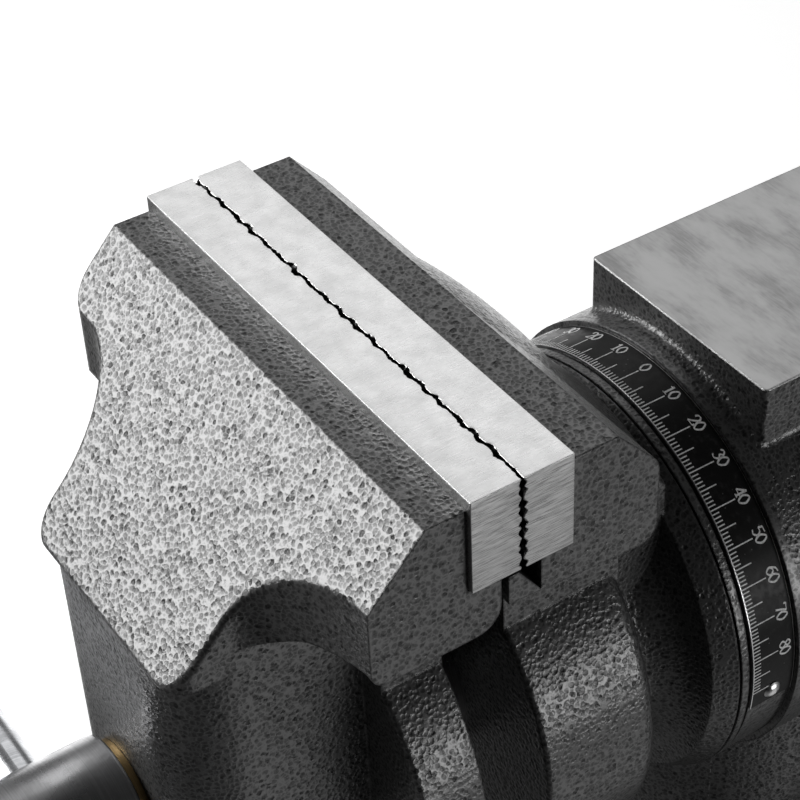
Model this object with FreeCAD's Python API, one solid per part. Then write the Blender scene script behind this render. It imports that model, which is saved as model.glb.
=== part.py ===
import FreeCAD, Part
import math
import os

# Swivel bench vise with a rotating head, 165 mm jaws.
# Frame: X along the jaws, Y from the user to the rear, Z up.
# Origin: centre of the base's underside, on the swivel axis. Millimetres.

V = FreeCAD.Vector

# Where the main axes and planes lie
AXIS_Z = 190.0              # height of the screw and head axis
CONTACT_Y = -150.0          # plane where the two jaws meet
THROAT_RISE = 141.5         # insert tops above the screw axis
TOP_Z = AXIS_Z + THROAT_RISE
OPENING = 155.0             # largest jaw opening

# Clearances
RUN_FIT = 0.05              # radial, shaft in its bore
FACE_GAP = 0.2              # between faces that slide on each other
SEAT_FIT = 0.05             # radial, fixed piece in its hole
SCREW_FIT = 0.3             # radial, bolt in a clearance hole
KNOB_FIT = 0.15             # radial, moulded knob on its bar
SPACE = 0.3                 # room between bodies that pass each other
KEY_SHARE = 0.85            # key size over the thread of a socket screw

# Jaw inserts
INSERT_W = 165.0
INSERT_H = 30.7
INSERT_T = 15.9
INSERT_GAP = 0.4            # left between the teeth with the jaws closed
INSERT_EDGE = 0.4
INSERT_SCREW_X = 52.0
INSERT_SCREW_R = 4.0
INSERT_HEAD_R = 6.5
INSERT_HEAD_H = 8.0
INSERT_SINK = 2.5           # screw head below the toothed face
INSERT_SCREW_DEPTH = 14.0   # into the jaw casting

# Front jaw casting, measured back from the contact plane and down from the insert tops
JAW_W = 160.8
JAW_DROP = 3.9              # jaw top below the insert tops
SEAT_DROP = 31.4            # insert seat floor below the insert tops
FRONT_LAND = 12.3           # flat top in front of the insert
SLOPE_DEG = 47.0
WING_FRONT = 45.8
WING_BOTTOM = 49.5
WING_LOWER_R = 5.0
LIP_FRONT = 5.5             # front jaw's lip, short of the contact plane
LIP_LOWER_R = 8.0
LIP_UPPER_R = 1.5
TONGUE_W = 83.0
TONGUE_FRONT = 84.0
TONGUE_CORNER_R = 9.0
TONGUE_LIP = 1.0            # edge of the slope's corners, over the rounder nose
TONGUE_EDGE = 2.0
NOSE_CORNER_R = 22.0        # below the lip, and round under the nose
SCALLOP = (41.0, 19.5)      # half axes of the right hollow corner's ellipse
LEFT_SCALLOP = (27.5, 27.0)
LEFT_CORNER_R = 8.0         # the left wing's corner is ground round, the right one is sharp
GUSSET_BOTTOM = 57.0        # foot of the hollow corner, beside the tongue
GUSSET_RUN = 14.0           # width over which the foot rises to the wing
WEB_W = 102.0
WEB_FLARE_R = 30.0
WEB_INSET = 8.0             # web's top inside the wing's end
DRUM_R = 73.7               # round part of both jaws about the screw axis
DRUM_EDGE = 1.5
FRONT_DRUM_START = 26.0
FRONT_WALL = 10.0           # wall in front of the slide tube

# Rear jaw and rotating head
REAR_LAND = 15.6
REAR_SLOPE_DEG = 48.0
REAR_BACK = 45.5
REAR_BACK_R = 9.0
REAR_WING_BOTTOM = 47.0
REAR_LOWER_R = 6.0
REAR_LIP_FRONT = 3.2        # ahead of the contact plane
REAR_LIP_TOP = 33.8
REAR_LIP_BOTTOM = 43.5
RELIEF_BACK = 7.1
RELIEF_DEPTH = 9.9
REAR_DRUM_START = 15.7
NECK_W = 84.0
REAR_DRUM_END = 57.0
REAR_DRUM_EDGE = 6.0
NECK_ROOT_R = 3.0
NECK_SWEEP_R = 18.0         # hollow between the neck and the flange
NECK_CREST = ((44.0, 127.3), (58.0, 109.5), (76.0, 84.5))
FLANGE_FRONT = 80.0
FLANGE_BACK = 87.9
FLANGE_R = 73.7
FLANGE_FACE_R = 69.6
FLANGE_EDGE = 0.4
SPINDLE_R = 50.0

# Slide tube, screw and nut
TUBE_R = 31.0
TUBE_BORE_R = 20.0
TUBE_END_Y = 90.0
TUBE_SLOT_W = 18.0
TUBE_PIN_R = 4.0
TUBE_PIN_START = 1.5        # pin's inner end inside the tube's wall
PIN_SINK = 1.0              # pin's outer end below the tongue's flank
SCREW_R = 11.0
SCREW_END_Y = 74.0
SCREW_TIP_EDGE = 1.6
NUT_R = 17.5
NUT_FRONT_Y = -130.0
NUT_LENGTH = 48.0
NUT_FOOT_DROP = 36.0
NUT_BOLT_R = 4.0
NUT_BOLT_HEAD_R = 6.5
NUT_BOLT_HEAD_H = 8.0
NUT_BOLT_INSET = 8.0        # first bolt from the front of the nut
NUT_BOLT_PITCH = 16.0
NUT_BOLT_SEAT = 46.0        # under the bolt heads, below the screw axis
COLLAR_R = 17.0
COLLAR_LENGTH = 12.0
COLLAR_PIN_R = 2.5
COLLAR_PIN_SINK = 0.5
WASHER_R = 19.0
WASHER_T = 2.5
SCREW_HEAD_R = 22.0
SCREW_HEAD_LENGTH = 44.0
SCREW_HEAD_EDGE = 3.0

# Handle
HANDLE_R = 8.0
HANDLE_LENGTH = 270.0
KNOB_R = 14.0
KNOB_LENGTH = 22.0
KNOB_SOCKET = 12.0
KNOB_EDGE = 5.0

# Pipe jaws under the inserts
PIPE_W = 76.0
PIPE_TOP = 57.0
PIPE_H = 34.0
PIPE_FRONT_SEAT = 12.5      # floor of the pocket in the front jaw
PIPE_FACE = 1.2             # from the contact plane
PIPE_NOTCH = 6.5
PIPE_SCREW_R = 3.0
PIPE_HEAD_R = 5.0
PIPE_HEAD_H = 3.0
PIPE_HEAD_SINK = 0.4        # web under the head, against the casting
PIPE_SCREW_X = 24.0
PIPE_SCREW_DEPTH = 10.0

# Body: ring of the rotating joint, barrel and anvil
RING_GAP = 0.5              # running gap in front of the ring lip
LIP_RING_W = 2.7
LIP_RING_R = 73.9
DIAL_GROOVE_W = 1.3
DIAL_GROOVE_R = 72.2
DIAL_SEAT_R = 73.45
DIAL_FIT = 0.05
DIAL_T = 0.8
DIAL_W = 16.4
DIAL_HALF_DEG = 97.0
RIVET_DEG = 93.7
RIVET_DOME_R = 4.4
RIVET_SHANK_R = 1.4
RIVET_DEPTH = 6.0
RIVET_HEAD_H = 1.5
BARREL_R = 76.0
BARREL_BACK_Y = 100.0
COUNTERBORE_R = 62.0
SHOULDER_Y = 60.0
RELIEF_R = 63.0             # cast recess between the barrel's two bearing lands
RELIEF_START_Y = -30.0
RELIEF_END_Y = 5.0
RETAINER_R = 58.0
RETAINER_T = 10.0
RETAINER_BOLT_CIRCLE = 40.5
RETAINER_BOLT_R = 3.0
RETAINER_HEAD_R = 5.0
RETAINER_HEAD_H = 6.0
RETAINER_BOLT_DEPTH = 16.0
CAP_T = 8.0
CAP_EDGE = 3.0
CAP_SCREW_CIRCLE = 69.0
CAP_SCREW_R = 3.0
CAP_HEAD_R = 5.0
CAP_HEAD_H = 3.5
CAP_SCREW_DEPTH = 14.0
ANVIL_W = 84.7
ANVIL_FRONT = 117.9         # from the contact plane
ANVIL_LENGTH = 112.0
ANVIL_RISE = 84.9           # anvil top above the head axis
ANVIL_CORNER_R = 1.5
ANVIL_EDGE = 0.5
ANVIL_FOOT_R = 3.0
PEDESTAL_R = 58.0
PEDESTAL_FLARE_R = 26.0
SPIGOT_R = 44.0             # base spigot that centres the body
BODY_FLANGE_R = 92.0
BODY_FLANGE_T = 17.0
BODY_FLANGE_EDGE = 4.0

# Base
BASE_R = 96.0
BASE_H = 24.0
BASE_EDGE = 3.0
SPIGOT_H = 12.0
SPIGOT_EDGE = 1.0
CENTRE_HOLE_R = 10.0
SLOT_CIRCLE = 74.0
SLOT_W = 13.0
SLOT_CAVITY_W = 23.0
SLOT_FLOOR = 5.0
SLOT_ROOF = 14.0
ENTRY_R = 11.2
LUG_SPACING = 164.0
LUG_R = 21.0
LUG_H = 17.0
LUG_HOLE_R = 6.75
LUG_FACE_R = 13.0
LUG_FACE_DEPTH = 1.0

# Swivel lock
T_SHANK_R = 6.0
T_HEAD_W = 19.0
T_HEAD_H = 7.0
T_BOLT_TOP = 71.0
LOCK_PAD_R = 17.0
LOCK_PAD_H = 3.0
LOCK_WASHER_R = 14.0
LOCK_WASHER_T = 2.5
LOCK_NUT_R = 13.0
LOCK_NUT_H = 20.0
LOCK_NUT_EDGE = 2.0
LOCK_BAR_R = 5.0
LOCK_BAR_LENGTH = 78.0
LOCK_BAR_SEAT = 4.0         # bar starts this far inside the nut's wall
LOCK_BAR_RISE_DEG = 20.0
LOCK_KNOB_R = 9.0
LOCK_REST_DEG = 35.0        # bars point outwards and to the rear

# Head lock
HEAD_LOCK_Y = 45.0
HEAD_BOSS_R = 17.0
HEAD_BOSS_X = 90.0
SHOE_R = 8.0
SHOE_LENGTH = 9.0
SHOE_GAP = 0.15
LOCK_SCREW_R = 7.0
LOCK_HEAD_R = 12.0
LOCK_HEAD_LENGTH = 18.0

HALF_JAW = JAW_W / 2
HALF_NECK = NECK_W / 2
HALF_WEB = WEB_W / 2
HALF_TONGUE = TONGUE_W / 2
FRONT_FACE_Y = CONTACT_Y - TONGUE_FRONT
TUBE_FRONT_Y = FRONT_FACE_Y + FRONT_WALL
RING_Y = CONTACT_Y + FLANGE_BACK + RING_GAP
DIAL_Y = RING_Y + LIP_RING_W + DIAL_GROOVE_W
COLLAR_Y = DIAL_Y + DIAL_W + SPACE
SPINDLE_END_Y = SHOULDER_Y + FACE_GAP / 2
BODY_Z = BASE_H + FACE_GAP
BODY_FLANGE_Z = BODY_Z + BODY_FLANGE_T
SCREW_HEAD_Y = FRONT_FACE_Y - FACE_GAP - WASHER_T


def depth(y):
    """Y of a plane that lies y behind the contact plane."""
    return CONTACT_Y + y


def drop(z):
    """Z of a level that lies z below the insert tops."""
    return TOP_Z - z


def rounded_face(corners, place):
    """Flat face from (a, b, radius) corners, each rounded by a tangent arc."""
    count = len(corners)
    stations = []
    for i, (a, b, radius) in enumerate(corners):
        here = V(a, b, 0)
        before = V(*corners[i - 1][:2], 0)
        after = V(*corners[(i + 1) % count][:2], 0)
        if radius == 0:
            stations.append((here, None, here))
            continue
        into = (before - here).normalize()
        out = (after - here).normalize()
        half = into.getAngle(out) / 2
        reach = radius / math.tan(half)
        bisector = (into + out).normalize()
        centre = here + bisector * (radius / math.sin(half))
        stations.append((here + into * reach, centre - bisector * radius, here + out * reach))
    edges = []
    for i, (start, middle, end) in enumerate(stations):
        if middle is not None:
            edges.append(Part.Arc(place(start), place(middle), place(end)).toShape())
        following = stations[(i + 1) % count][0]
        if end.distanceToPoint(following) > 1e-6:
            edges.append(Part.LineSegment(place(end), place(following)).toShape())
    return Part.Face(Part.Wire(edges))


def slab_x(corners, half_width):
    """Side view (y, z, radius) carried along X, even on both sides."""
    face = rounded_face(corners, lambda p: V(-half_width, p.x, p.y))
    return face.extrude(V(2 * half_width, 0, 0))


def slab_y(corners, start, end):
    """Front view (x, z, radius) carried along Y."""
    face = rounded_face(corners, lambda p: V(p.x, start, p.y))
    return face.extrude(V(0, end - start, 0))


def slab_z(corners, bottom, top):
    """Plan view (x, y, radius) carried along Z."""
    face = rounded_face(corners, lambda p: V(p.x, p.y, bottom))
    return face.extrude(V(0, 0, top - bottom))


def box(x0, x1, y0, y1, z0, z1):
    return Part.makeBox(x1 - x0, y1 - y0, z1 - z0, V(x0, y0, z0))


def rod_x(radius, x0, x1, y, z):
    return Part.makeCylinder(radius, x1 - x0, V(x0, y, z), V(1, 0, 0))


def rod_y(radius, y0, y1, x=0.0, z=AXIS_Z):
    return Part.makeCylinder(radius, y1 - y0, V(x, y0, z), V(0, 1, 0))


def rod_z(radius, z0, z1, x=0.0, y=0.0):
    return Part.makeCylinder(radius, z1 - z0, V(x, y, z0), V(0, 0, 1))


def turned_y(corners):
    """Profile of (y, radius, corner radius) turned about the head axis."""
    face = rounded_face(corners, lambda p: V(0, p.x, AXIS_Z + p.y))
    return face.revolve(V(0, 0, AXIS_Z), V(0, 1, 0), 360)


def turned_z(corners, x=0.0, y=0.0):
    """Profile of (radius, z, corner radius) turned about a vertical axis."""
    face = rounded_face(corners, lambda p: V(x + p.x, y, p.y))
    return face.revolve(V(x, y, 0), V(0, 0, 1), 360)


def mirror_pair(x):
    return (-x, x)


def slope_z(y):
    """Level of the front slope at a depth y in front of the contact plane."""
    return drop(JAW_DROP) - math.tan(math.radians(SLOPE_DEG)) * (y - INSERT_T - FRONT_LAND)


def front_side_view():
    """Outline of the front jaw from the side, with the slope down to the tongue."""
    land = depth(-INSERT_T - FRONT_LAND)
    toe = slope_z(TONGUE_FRONT)
    return [
        (depth(-INSERT_T), drop(JAW_DROP), 0),
        (land, drop(JAW_DROP), 0),
        (FRONT_FACE_Y, toe, 0),
        (FRONT_FACE_Y, AXIS_Z, 0),
        (depth(-INSERT_T), AXIS_Z, 0),
    ]


def tongue_plan(corner_r):
    """Plan of the tongue, with rounded front corners."""
    back = depth(-FRONT_DRUM_START) + DRUM_EDGE
    return [
        (-HALF_TONGUE, back, 0),
        (-HALF_TONGUE, FRONT_FACE_Y, corner_r),
        (HALF_TONGUE, FRONT_FACE_Y, corner_r),
        (HALF_TONGUE, back, 0),
    ]


def front_wings():
    front = depth(-WING_FRONT)
    side = slab_x([
        (depth(-INSERT_T), drop(JAW_DROP), 0),
        (depth(-INSERT_T - FRONT_LAND), drop(JAW_DROP), 0),
        (front, slope_z(WING_FRONT), 0),
        (front, drop(WING_BOTTOM), WING_LOWER_R),
        (depth(-LIP_FRONT), drop(WING_BOTTOM), LIP_LOWER_R),
        (depth(-LIP_FRONT), drop(SEAT_DROP), LIP_UPPER_R),
        (depth(-INSERT_T), drop(SEAT_DROP), 0),
    ], HALF_JAW)
    plan = slab_z([
        (-HALF_JAW, depth(0), 0),
        (-HALF_JAW, front, LEFT_CORNER_R),
        (HALF_JAW, front, 0),
        (HALF_JAW, depth(0), 0),
    ], drop(WING_BOTTOM), drop(0))
    return side.common(plan)


def scallop(side):
    """Hollow corner between the tongue's side and a wing: a quarter of an ellipse in plan."""
    along, deep = SCALLOP if side > 0 else LEFT_SCALLOP
    wall = depth(-WING_FRONT)
    edge = side * HALF_TONGUE
    reach = side * (HALF_TONGUE + along)
    inner = side * (HALF_TONGUE - WING_LOWER_R)
    front = wall - deep
    back = wall + WING_LOWER_R
    floor = drop(GUSSET_BOTTOM)
    ellipse = Part.Ellipse(V(reach, front, floor), along, deep)
    turns = (math.pi / 2, math.pi) if side > 0 else (0, math.pi / 2)
    points = [
        V(reach, wall, floor),
        V(reach, back, floor),
        V(inner, back, floor),
        V(inner, front, floor),
        V(edge, front, floor),
    ]
    lines = [Part.LineSegment(a, b).toShape() for a, b in zip(points, points[1:])]
    wire = Part.Wire(Part.__sortEdges__([Part.ArcOfEllipse(ellipse, *turns).toShape(), *lines]))
    block = Part.Face(wire).extrude(V(0, 0, GUSSET_BOTTOM - JAW_DROP))
    foot = slab_y([
        (inner, floor, 0),
        (edge, floor, 0),
        (edge + side * GUSSET_RUN, drop(WING_BOTTOM), 0),
        (reach, drop(WING_BOTTOM) + WING_LOWER_R, 0),
        (reach, drop(JAW_DROP), 0),
        (inner, drop(JAW_DROP), 0),
    ], front, back)
    return block.common(foot)


def flared_web(half_wing, top, start, end):
    """Web under the wings: straight flanks that sweep out under each wing."""
    sweep = half_wing - HALF_WEB
    arc_bottom = top - WEB_FLARE_R
    bend = math.sqrt(0.5)
    edges = []
    for side in (1, -1):
        corner = V(side * HALF_WEB, start, arc_bottom)
        middle = V(side * (HALF_WEB + sweep * (1 - bend)), start, top - WEB_FLARE_R * (1 - bend))
        tip = V(side * half_wing, start, top)
        edges.append(Part.Arc(corner, middle, tip).toShape())
        edges.append(Part.LineSegment(corner, V(side * HALF_WEB, start, AXIS_Z)).toShape())
        edges.append(Part.LineSegment(tip, V(side * half_wing, start, top + LIP_UPPER_R)).toShape())
    for half, level in ((half_wing, top + LIP_UPPER_R), (HALF_WEB, AXIS_Z)):
        edges.append(Part.LineSegment(V(-half, start, level), V(half, start, level)).toShape())
    wire = Part.Wire(Part.__sortEdges__(edges))
    return Part.Face(wire).extrude(V(0, end - start, 0))


def on_slope_border(point):
    """Points on the slope's border from the toe corner along the hollow corner."""
    y = CONTACT_Y - point.y
    beside = abs(point.x) > HALF_TONGUE - TONGUE_CORNER_R - 1e-3 and y > WING_FRONT - 1e-3
    return beside and abs(point.z - slope_z(y)) < 1e-4


def tongue():
    """Slope, nose and round bottom of the front jaw, with the hollow corners beside the wings."""
    side = slab_x(front_side_view(), HALF_JAW)
    lip = slab_z(tongue_plan(TONGUE_CORNER_R), slope_z(TONGUE_FRONT) - TONGUE_LIP, drop(0))
    body = lip.fuse(slab_z(tongue_plan(NOSE_CORNER_R), AXIS_Z, drop(0)))
    for turn in (-1, 1):
        body = body.fuse(scallop(turn))
    body = body.common(side).removeSplitter()
    body = rounded_edges(body, TONGUE_EDGE, on_slope_border)
    back = depth(-FRONT_DRUM_START) + DRUM_EDGE
    return body.fuse(turned_y([
        (FRONT_FACE_Y, 0, 0),
        (FRONT_FACE_Y, HALF_TONGUE, NOSE_CORNER_R),
        (back, HALF_TONGUE, 0),
        (back, 0, 0),
    ]))


def insert_screw_places(front):
    """Screw axes, the toothed face and the direction into the casting."""
    way = -1 if front else 1
    face = CONTACT_Y + way * INSERT_GAP / 2
    return [(x, face, way) for x in mirror_pair(INSERT_SCREW_X)]


def rod_along(radius, start, length, way, x, z):
    """Rod along Y from start, towards the rear if way is 1 and the front if it is -1."""
    return Part.makeCylinder(radius, length, V(x, start, z), V(0, way, 0))


def insert_screw_holes(front, radius):
    seat = INSERT_T + INSERT_SCREW_DEPTH + SPACE
    z = drop(INSERT_H / 2)
    holes = [rod_along(radius, face, seat, way, x, z) for x, face, way in insert_screw_places(front)]
    return holes[0].fuse(holes[1:])


def front_jaw_casting():
    start, end = depth(-FRONT_DRUM_START), depth(-LIP_FRONT)
    body = front_wings().fuse(tongue())
    body = body.fuse(flared_web(HALF_JAW - WEB_INSET, drop(WING_BOTTOM), start, end))
    body = body.fuse(turned_y([
        (start, 0, 0),
        (start, DRUM_R, DRUM_EDGE),
        (end, DRUM_R, DRUM_EDGE),
        (end, 0, 0),
    ]))
    body = body.cut(rod_y(TUBE_R + SEAT_FIT, TUBE_FRONT_Y, CONTACT_Y))
    body = body.cut(rod_y(SCREW_R + SCREW_FIT, FRONT_FACE_Y - 1, TUBE_FRONT_Y + 1))
    body = body.cut(insert_screw_holes(True, INSERT_SCREW_R + SEAT_FIT))
    body = body.cut(tube_pins(SEAT_FIT))
    body = body.cut(pipe_pocket())
    body = body.cut(pipe_screws(True, SEAT_FIT))
    return body.removeSplitter()


def jaw_insert(front):
    """Ground steel block; its toothed face looks at the other jaw."""
    way = -1 if front else 1
    face = CONTACT_Y + way * INSERT_GAP / 2
    back = CONTACT_Y + way * INSERT_T
    block = slab_x([
        (face, drop(0), 0),
        (back, drop(0), INSERT_EDGE),
        (back, drop(INSERT_H), INSERT_EDGE),
        (face, drop(INSERT_H), 0),
    ], INSERT_W / 2)
    z = drop(INSERT_H / 2)
    for x, plane, _ in insert_screw_places(front):
        sink = INSERT_SINK + INSERT_HEAD_H + SEAT_FIT
        block = block.cut(rod_along(INSERT_HEAD_R + SCREW_FIT, plane, sink, way, x, z))
        block = block.cut(rod_along(INSERT_SCREW_R + SCREW_FIT, plane, INSERT_T + 1, way, x, z))
    return block


def insert_screws(front):
    """Two socket head screws, sunk below the teeth."""
    z = drop(INSERT_H / 2)
    screws = []
    for x, plane, way in insert_screw_places(front):
        top = plane + way * INSERT_SINK
        head = rod_along(INSERT_HEAD_R, top, INSERT_HEAD_H, way, x, z)
        reach = INSERT_T - INSERT_GAP / 2 - INSERT_SINK + INSERT_SCREW_DEPTH
        screw = head.fuse(rod_along(INSERT_SCREW_R, top, reach, way, x, z))
        screws.append(screw.cut(hex_socket(x, top, z, way, INSERT_SCREW_R)))
    return Part.makeCompound(screws)


def hex_socket(x, y, z, way, thread_r):
    """Hexagonal key socket that opens on a Y face, as deep as the thread's radius."""
    radius = 2 * KEY_SHARE * thread_r / math.sqrt(3)
    turns = [math.radians(60 * i) for i in range(7)]
    points = [V(x + radius * math.cos(turn), y, z + radius * math.sin(turn)) for turn in turns]
    return Part.Face(Part.makePolygon(points)).extrude(V(0, way * thread_r, 0))


def pipe_seat(front):
    """Depth of the pipe jaw's seat from the contact plane."""
    return PIPE_FRONT_SEAT if front else REAR_DRUM_START


def pipe_pocket():
    """Pocket in the front jaw's back face that takes its pipe jaw."""
    half = PIPE_W / 2 + SEAT_FIT
    return box(-half, half, depth(-PIPE_FRONT_SEAT), CONTACT_Y,
               drop(PIPE_TOP + PIPE_H) - SEAT_FIT, drop(PIPE_TOP) + SEAT_FIT)


def pipe_jaw(front):
    """Steel block with a V notch that holds a pipe lying along X."""
    way = -1 if front else 1
    face = CONTACT_Y + way * PIPE_FACE
    back = CONTACT_Y + way * pipe_seat(front)
    middle = drop(PIPE_TOP + PIPE_H / 2)
    block = slab_x([
        (face, drop(PIPE_TOP), 0),
        (back, drop(PIPE_TOP), 0),
        (back, drop(PIPE_TOP + PIPE_H), 0),
        (face, drop(PIPE_TOP + PIPE_H), 0),
        (face + way * PIPE_NOTCH, middle, 0),
    ], PIPE_W / 2)
    return block.cut(pipe_screws(front, SCREW_FIT))


def pipe_screws(front, room=0.0):
    """Two screws through the bottom of the notch into the casting."""
    way = -1 if front else 1
    top = CONTACT_Y + way * (pipe_seat(front) - PIPE_HEAD_H - PIPE_HEAD_SINK)
    z = drop(PIPE_TOP + PIPE_H / 2)
    screws = []
    for x in mirror_pair(PIPE_SCREW_X):
        head = rod_along(PIPE_HEAD_R + room, top - way * room, PIPE_HEAD_H + room, way, x, z)
        reach = PIPE_HEAD_H + PIPE_HEAD_SINK + PIPE_SCREW_DEPTH
        screws.append(head.fuse(rod_along(PIPE_SCREW_R + room, top, reach + room, way, x, z)))
    return Part.makeCompound(screws)


def rear_wings():
    slope = math.tan(math.radians(REAR_SLOPE_DEG))
    corner = INSERT_T + REAR_LAND
    return slab_x([
        (depth(INSERT_T), drop(JAW_DROP), 0),
        (depth(corner), drop(JAW_DROP), 0),
        (depth(REAR_BACK), drop(JAW_DROP) - slope * (REAR_BACK - corner), REAR_BACK_R),
        (depth(REAR_BACK), drop(REAR_WING_BOTTOM), REAR_LOWER_R),
        (depth(-REAR_LIP_FRONT), drop(REAR_LIP_BOTTOM), 0),
        (depth(-REAR_LIP_FRONT), drop(REAR_LIP_TOP), 0),
        (depth(0), drop(REAR_LIP_TOP), 0),
        (depth(RELIEF_BACK), drop(REAR_LIP_TOP + RELIEF_DEPTH), 0),
        (depth(RELIEF_BACK), drop(SEAT_DROP), 0),
        (depth(INSERT_T), drop(SEAT_DROP), 0),
    ], HALF_JAW)


def neck_roof():
    """Room under the crest that falls from the jaw's back edge to the flange."""
    lip = (INSERT_T + REAR_LAND, THROAT_RISE - JAW_DROP)
    crest = [lip, *NECK_CREST, (FLANGE_BACK, FLANGE_R)]
    points = [V(0, depth(y), AXIS_Z + r) for y, r in crest]
    ridge = Part.BSplineCurve()
    ridge.interpolate(points)
    start, end = points[0], points[-1]
    foot_a, foot_b = V(0, start.y, AXIS_Z), V(0, end.y, AXIS_Z)
    wire = Part.Wire([
        ridge.toShape(),
        Part.LineSegment(end, foot_b).toShape(),
        Part.LineSegment(foot_b, foot_a).toShape(),
        Part.LineSegment(foot_a, start).toShape(),
    ])
    return Part.Face(wire).revolve(V(0, 0, AXIS_Z), V(0, 1, 0), 360)


def head_casting():
    body = rear_wings()
    neck = box(-HALF_NECK, HALF_NECK, depth(INSERT_T), depth(FLANGE_FRONT) + 1, AXIS_Z, drop(JAW_DROP))
    roof = neck_roof()
    body = body.fuse(neck.common(roof))
    start, end = depth(REAR_DRUM_START), depth(REAR_DRUM_END)
    top = drop(REAR_WING_BOTTOM) + REAR_LOWER_R / 2
    body = body.fuse(flared_web(HALF_JAW - REAR_LOWER_R, top, start, depth(REAR_BACK - REAR_LOWER_R)))
    body = body.fuse(box(-HALF_WEB, HALF_WEB, start, end, AXIS_Z, drop(REAR_WING_BOTTOM) - WEB_FLARE_R))
    body = body.fuse(turned_y([
        (start, 0, 0),
        (start, DRUM_R, DRUM_EDGE),
        (end, DRUM_R, REAR_DRUM_EDGE),
        (end, SPINDLE_R, NECK_ROOT_R),
        (depth(FLANGE_FRONT), SPINDLE_R, NECK_SWEEP_R),
        (depth(FLANGE_FRONT), FLANGE_FACE_R, 0),
        (depth(FLANGE_BACK) - FLANGE_EDGE, FLANGE_R, 0),
        (depth(FLANGE_BACK), FLANGE_R - FLANGE_EDGE, 0),
        (depth(FLANGE_BACK), 0, 0),
    ]))
    body = body.fuse(rod_y(SPINDLE_R, depth(FLANGE_FRONT), SPINDLE_END_Y))
    body = body.cut(rod_y(TUBE_R + RUN_FIT, CONTACT_Y - TUBE_R, SPINDLE_END_Y + 1))
    body = body.cut(nut_foot(SEAT_FIT))
    body = body.cut(nut_bolts(SEAT_FIT))
    body = body.cut(insert_screw_holes(False, INSERT_SCREW_R + SEAT_FIT))
    body = body.cut(pipe_screws(False, SEAT_FIT))
    body = body.cut(retainer_bolts(SEAT_FIT))
    return body.removeSplitter()


def nut_foot(room=0.0):
    """Foot that passes the tube's slot and sits in the head's pocket."""
    half = TUBE_SLOT_W / 2 - SPACE + room
    return box(-half, half, NUT_FRONT_Y - room, NUT_FRONT_Y + NUT_LENGTH + room,
               AXIS_Z - NUT_FOOT_DROP - room, AXIS_Z - SCREW_R - RUN_FIT - 1)


def nut_bolt_places():
    first = NUT_FRONT_Y + NUT_BOLT_INSET
    return [first, first + NUT_BOLT_PITCH]


def nut_bolts(room=0.0):
    """Two bolts from under the head, up into the nut's foot; with room, their counterbored holes."""
    seat = AXIS_Z - NUT_BOLT_SEAT
    bolts = []
    for y in nut_bolt_places():
        head = rod_z(NUT_BOLT_HEAD_R, seat - NUT_BOLT_HEAD_H, seat, 0, y)
        if room > 0:
            head = rod_z(NUT_BOLT_HEAD_R + SCREW_FIT, AXIS_Z - DRUM_R - 1, seat, 0, y)
        bolts.append(head.fuse(rod_z(NUT_BOLT_R + room, seat - 1, AXIS_Z - TUBE_BORE_R + room, 0, y)))
    return Part.makeCompound(bolts)


def screw_nut():
    body = rod_y(NUT_R, NUT_FRONT_Y, NUT_FRONT_Y + NUT_LENGTH).fuse(nut_foot())
    body = body.cut(rod_y(SCREW_R + RUN_FIT, NUT_FRONT_Y - 1, NUT_FRONT_Y + NUT_LENGTH + 1))
    return body.cut(nut_bolts(SEAT_FIT)).removeSplitter()


def slide_tube():
    body = rod_y(TUBE_R, TUBE_FRONT_Y, TUBE_END_Y)
    body = body.cut(rod_y(TUBE_BORE_R, TUBE_FRONT_Y - 1, TUBE_END_Y + 1))
    slot_back = NUT_FRONT_Y + NUT_LENGTH + OPENING + 2 * SPACE
    half = TUBE_SLOT_W / 2
    slot_front = NUT_FRONT_Y - 2 * SPACE - half
    slot = box(-half, half, slot_front, slot_back, AXIS_Z - TUBE_R - 1, AXIS_Z)
    body = body.cut(slot)
    return body.cut(tube_pins(SEAT_FIT))


def tube_pins(room=0.0):
    """Two pins through the tongue's flanks that hold the tube."""
    y = TUBE_FRONT_Y + TUBE_R
    reach = HALF_TONGUE - PIN_SINK
    inner = TUBE_BORE_R + TUBE_PIN_START
    pins = [rod_x(TUBE_PIN_R + room, inner - room, reach + room, y, AXIS_Z),
            rod_x(TUBE_PIN_R + room, -reach - room, -inner + room, y, AXIS_Z)]
    return Part.makeCompound(pins)


def lead_screw():
    """Screw with its turned head; the handle passes the head's cross hole."""
    front = SCREW_HEAD_Y - SCREW_HEAD_LENGTH
    body = turned_y([
        (front, 0, 0),
        (front, SCREW_HEAD_R, SCREW_HEAD_EDGE),
        (SCREW_HEAD_Y, SCREW_HEAD_R, SCREW_HEAD_EDGE / 2),
        (SCREW_HEAD_Y, SCREW_R, 0),
        (SCREW_END_Y, SCREW_R, SCREW_TIP_EDGE),
        (SCREW_END_Y, 0, 0),
    ])
    hole = rod_x(HANDLE_R + SPACE, -SCREW_HEAD_R - 1, SCREW_HEAD_R + 1, handle_y(), AXIS_Z)
    return body.cut(hole).cut(collar_pin(SEAT_FIT))


def handle_y():
    return SCREW_HEAD_Y - SCREW_HEAD_LENGTH / 2


def thrust_washer():
    start = FRONT_FACE_Y - FACE_GAP / 2 - WASHER_T
    body = rod_y(WASHER_R, start, start + WASHER_T)
    return body.cut(rod_y(SCREW_R + SPACE, start - 1, start + WASHER_T + 1))


def collar_start():
    return TUBE_FRONT_Y + FACE_GAP


def retaining_collar():
    start = collar_start()
    body = rod_y(COLLAR_R, start, start + COLLAR_LENGTH)
    body = body.cut(rod_y(SCREW_R + SEAT_FIT, start - 1, start + COLLAR_LENGTH + 1))
    return body.cut(collar_pin(SEAT_FIT))


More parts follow.
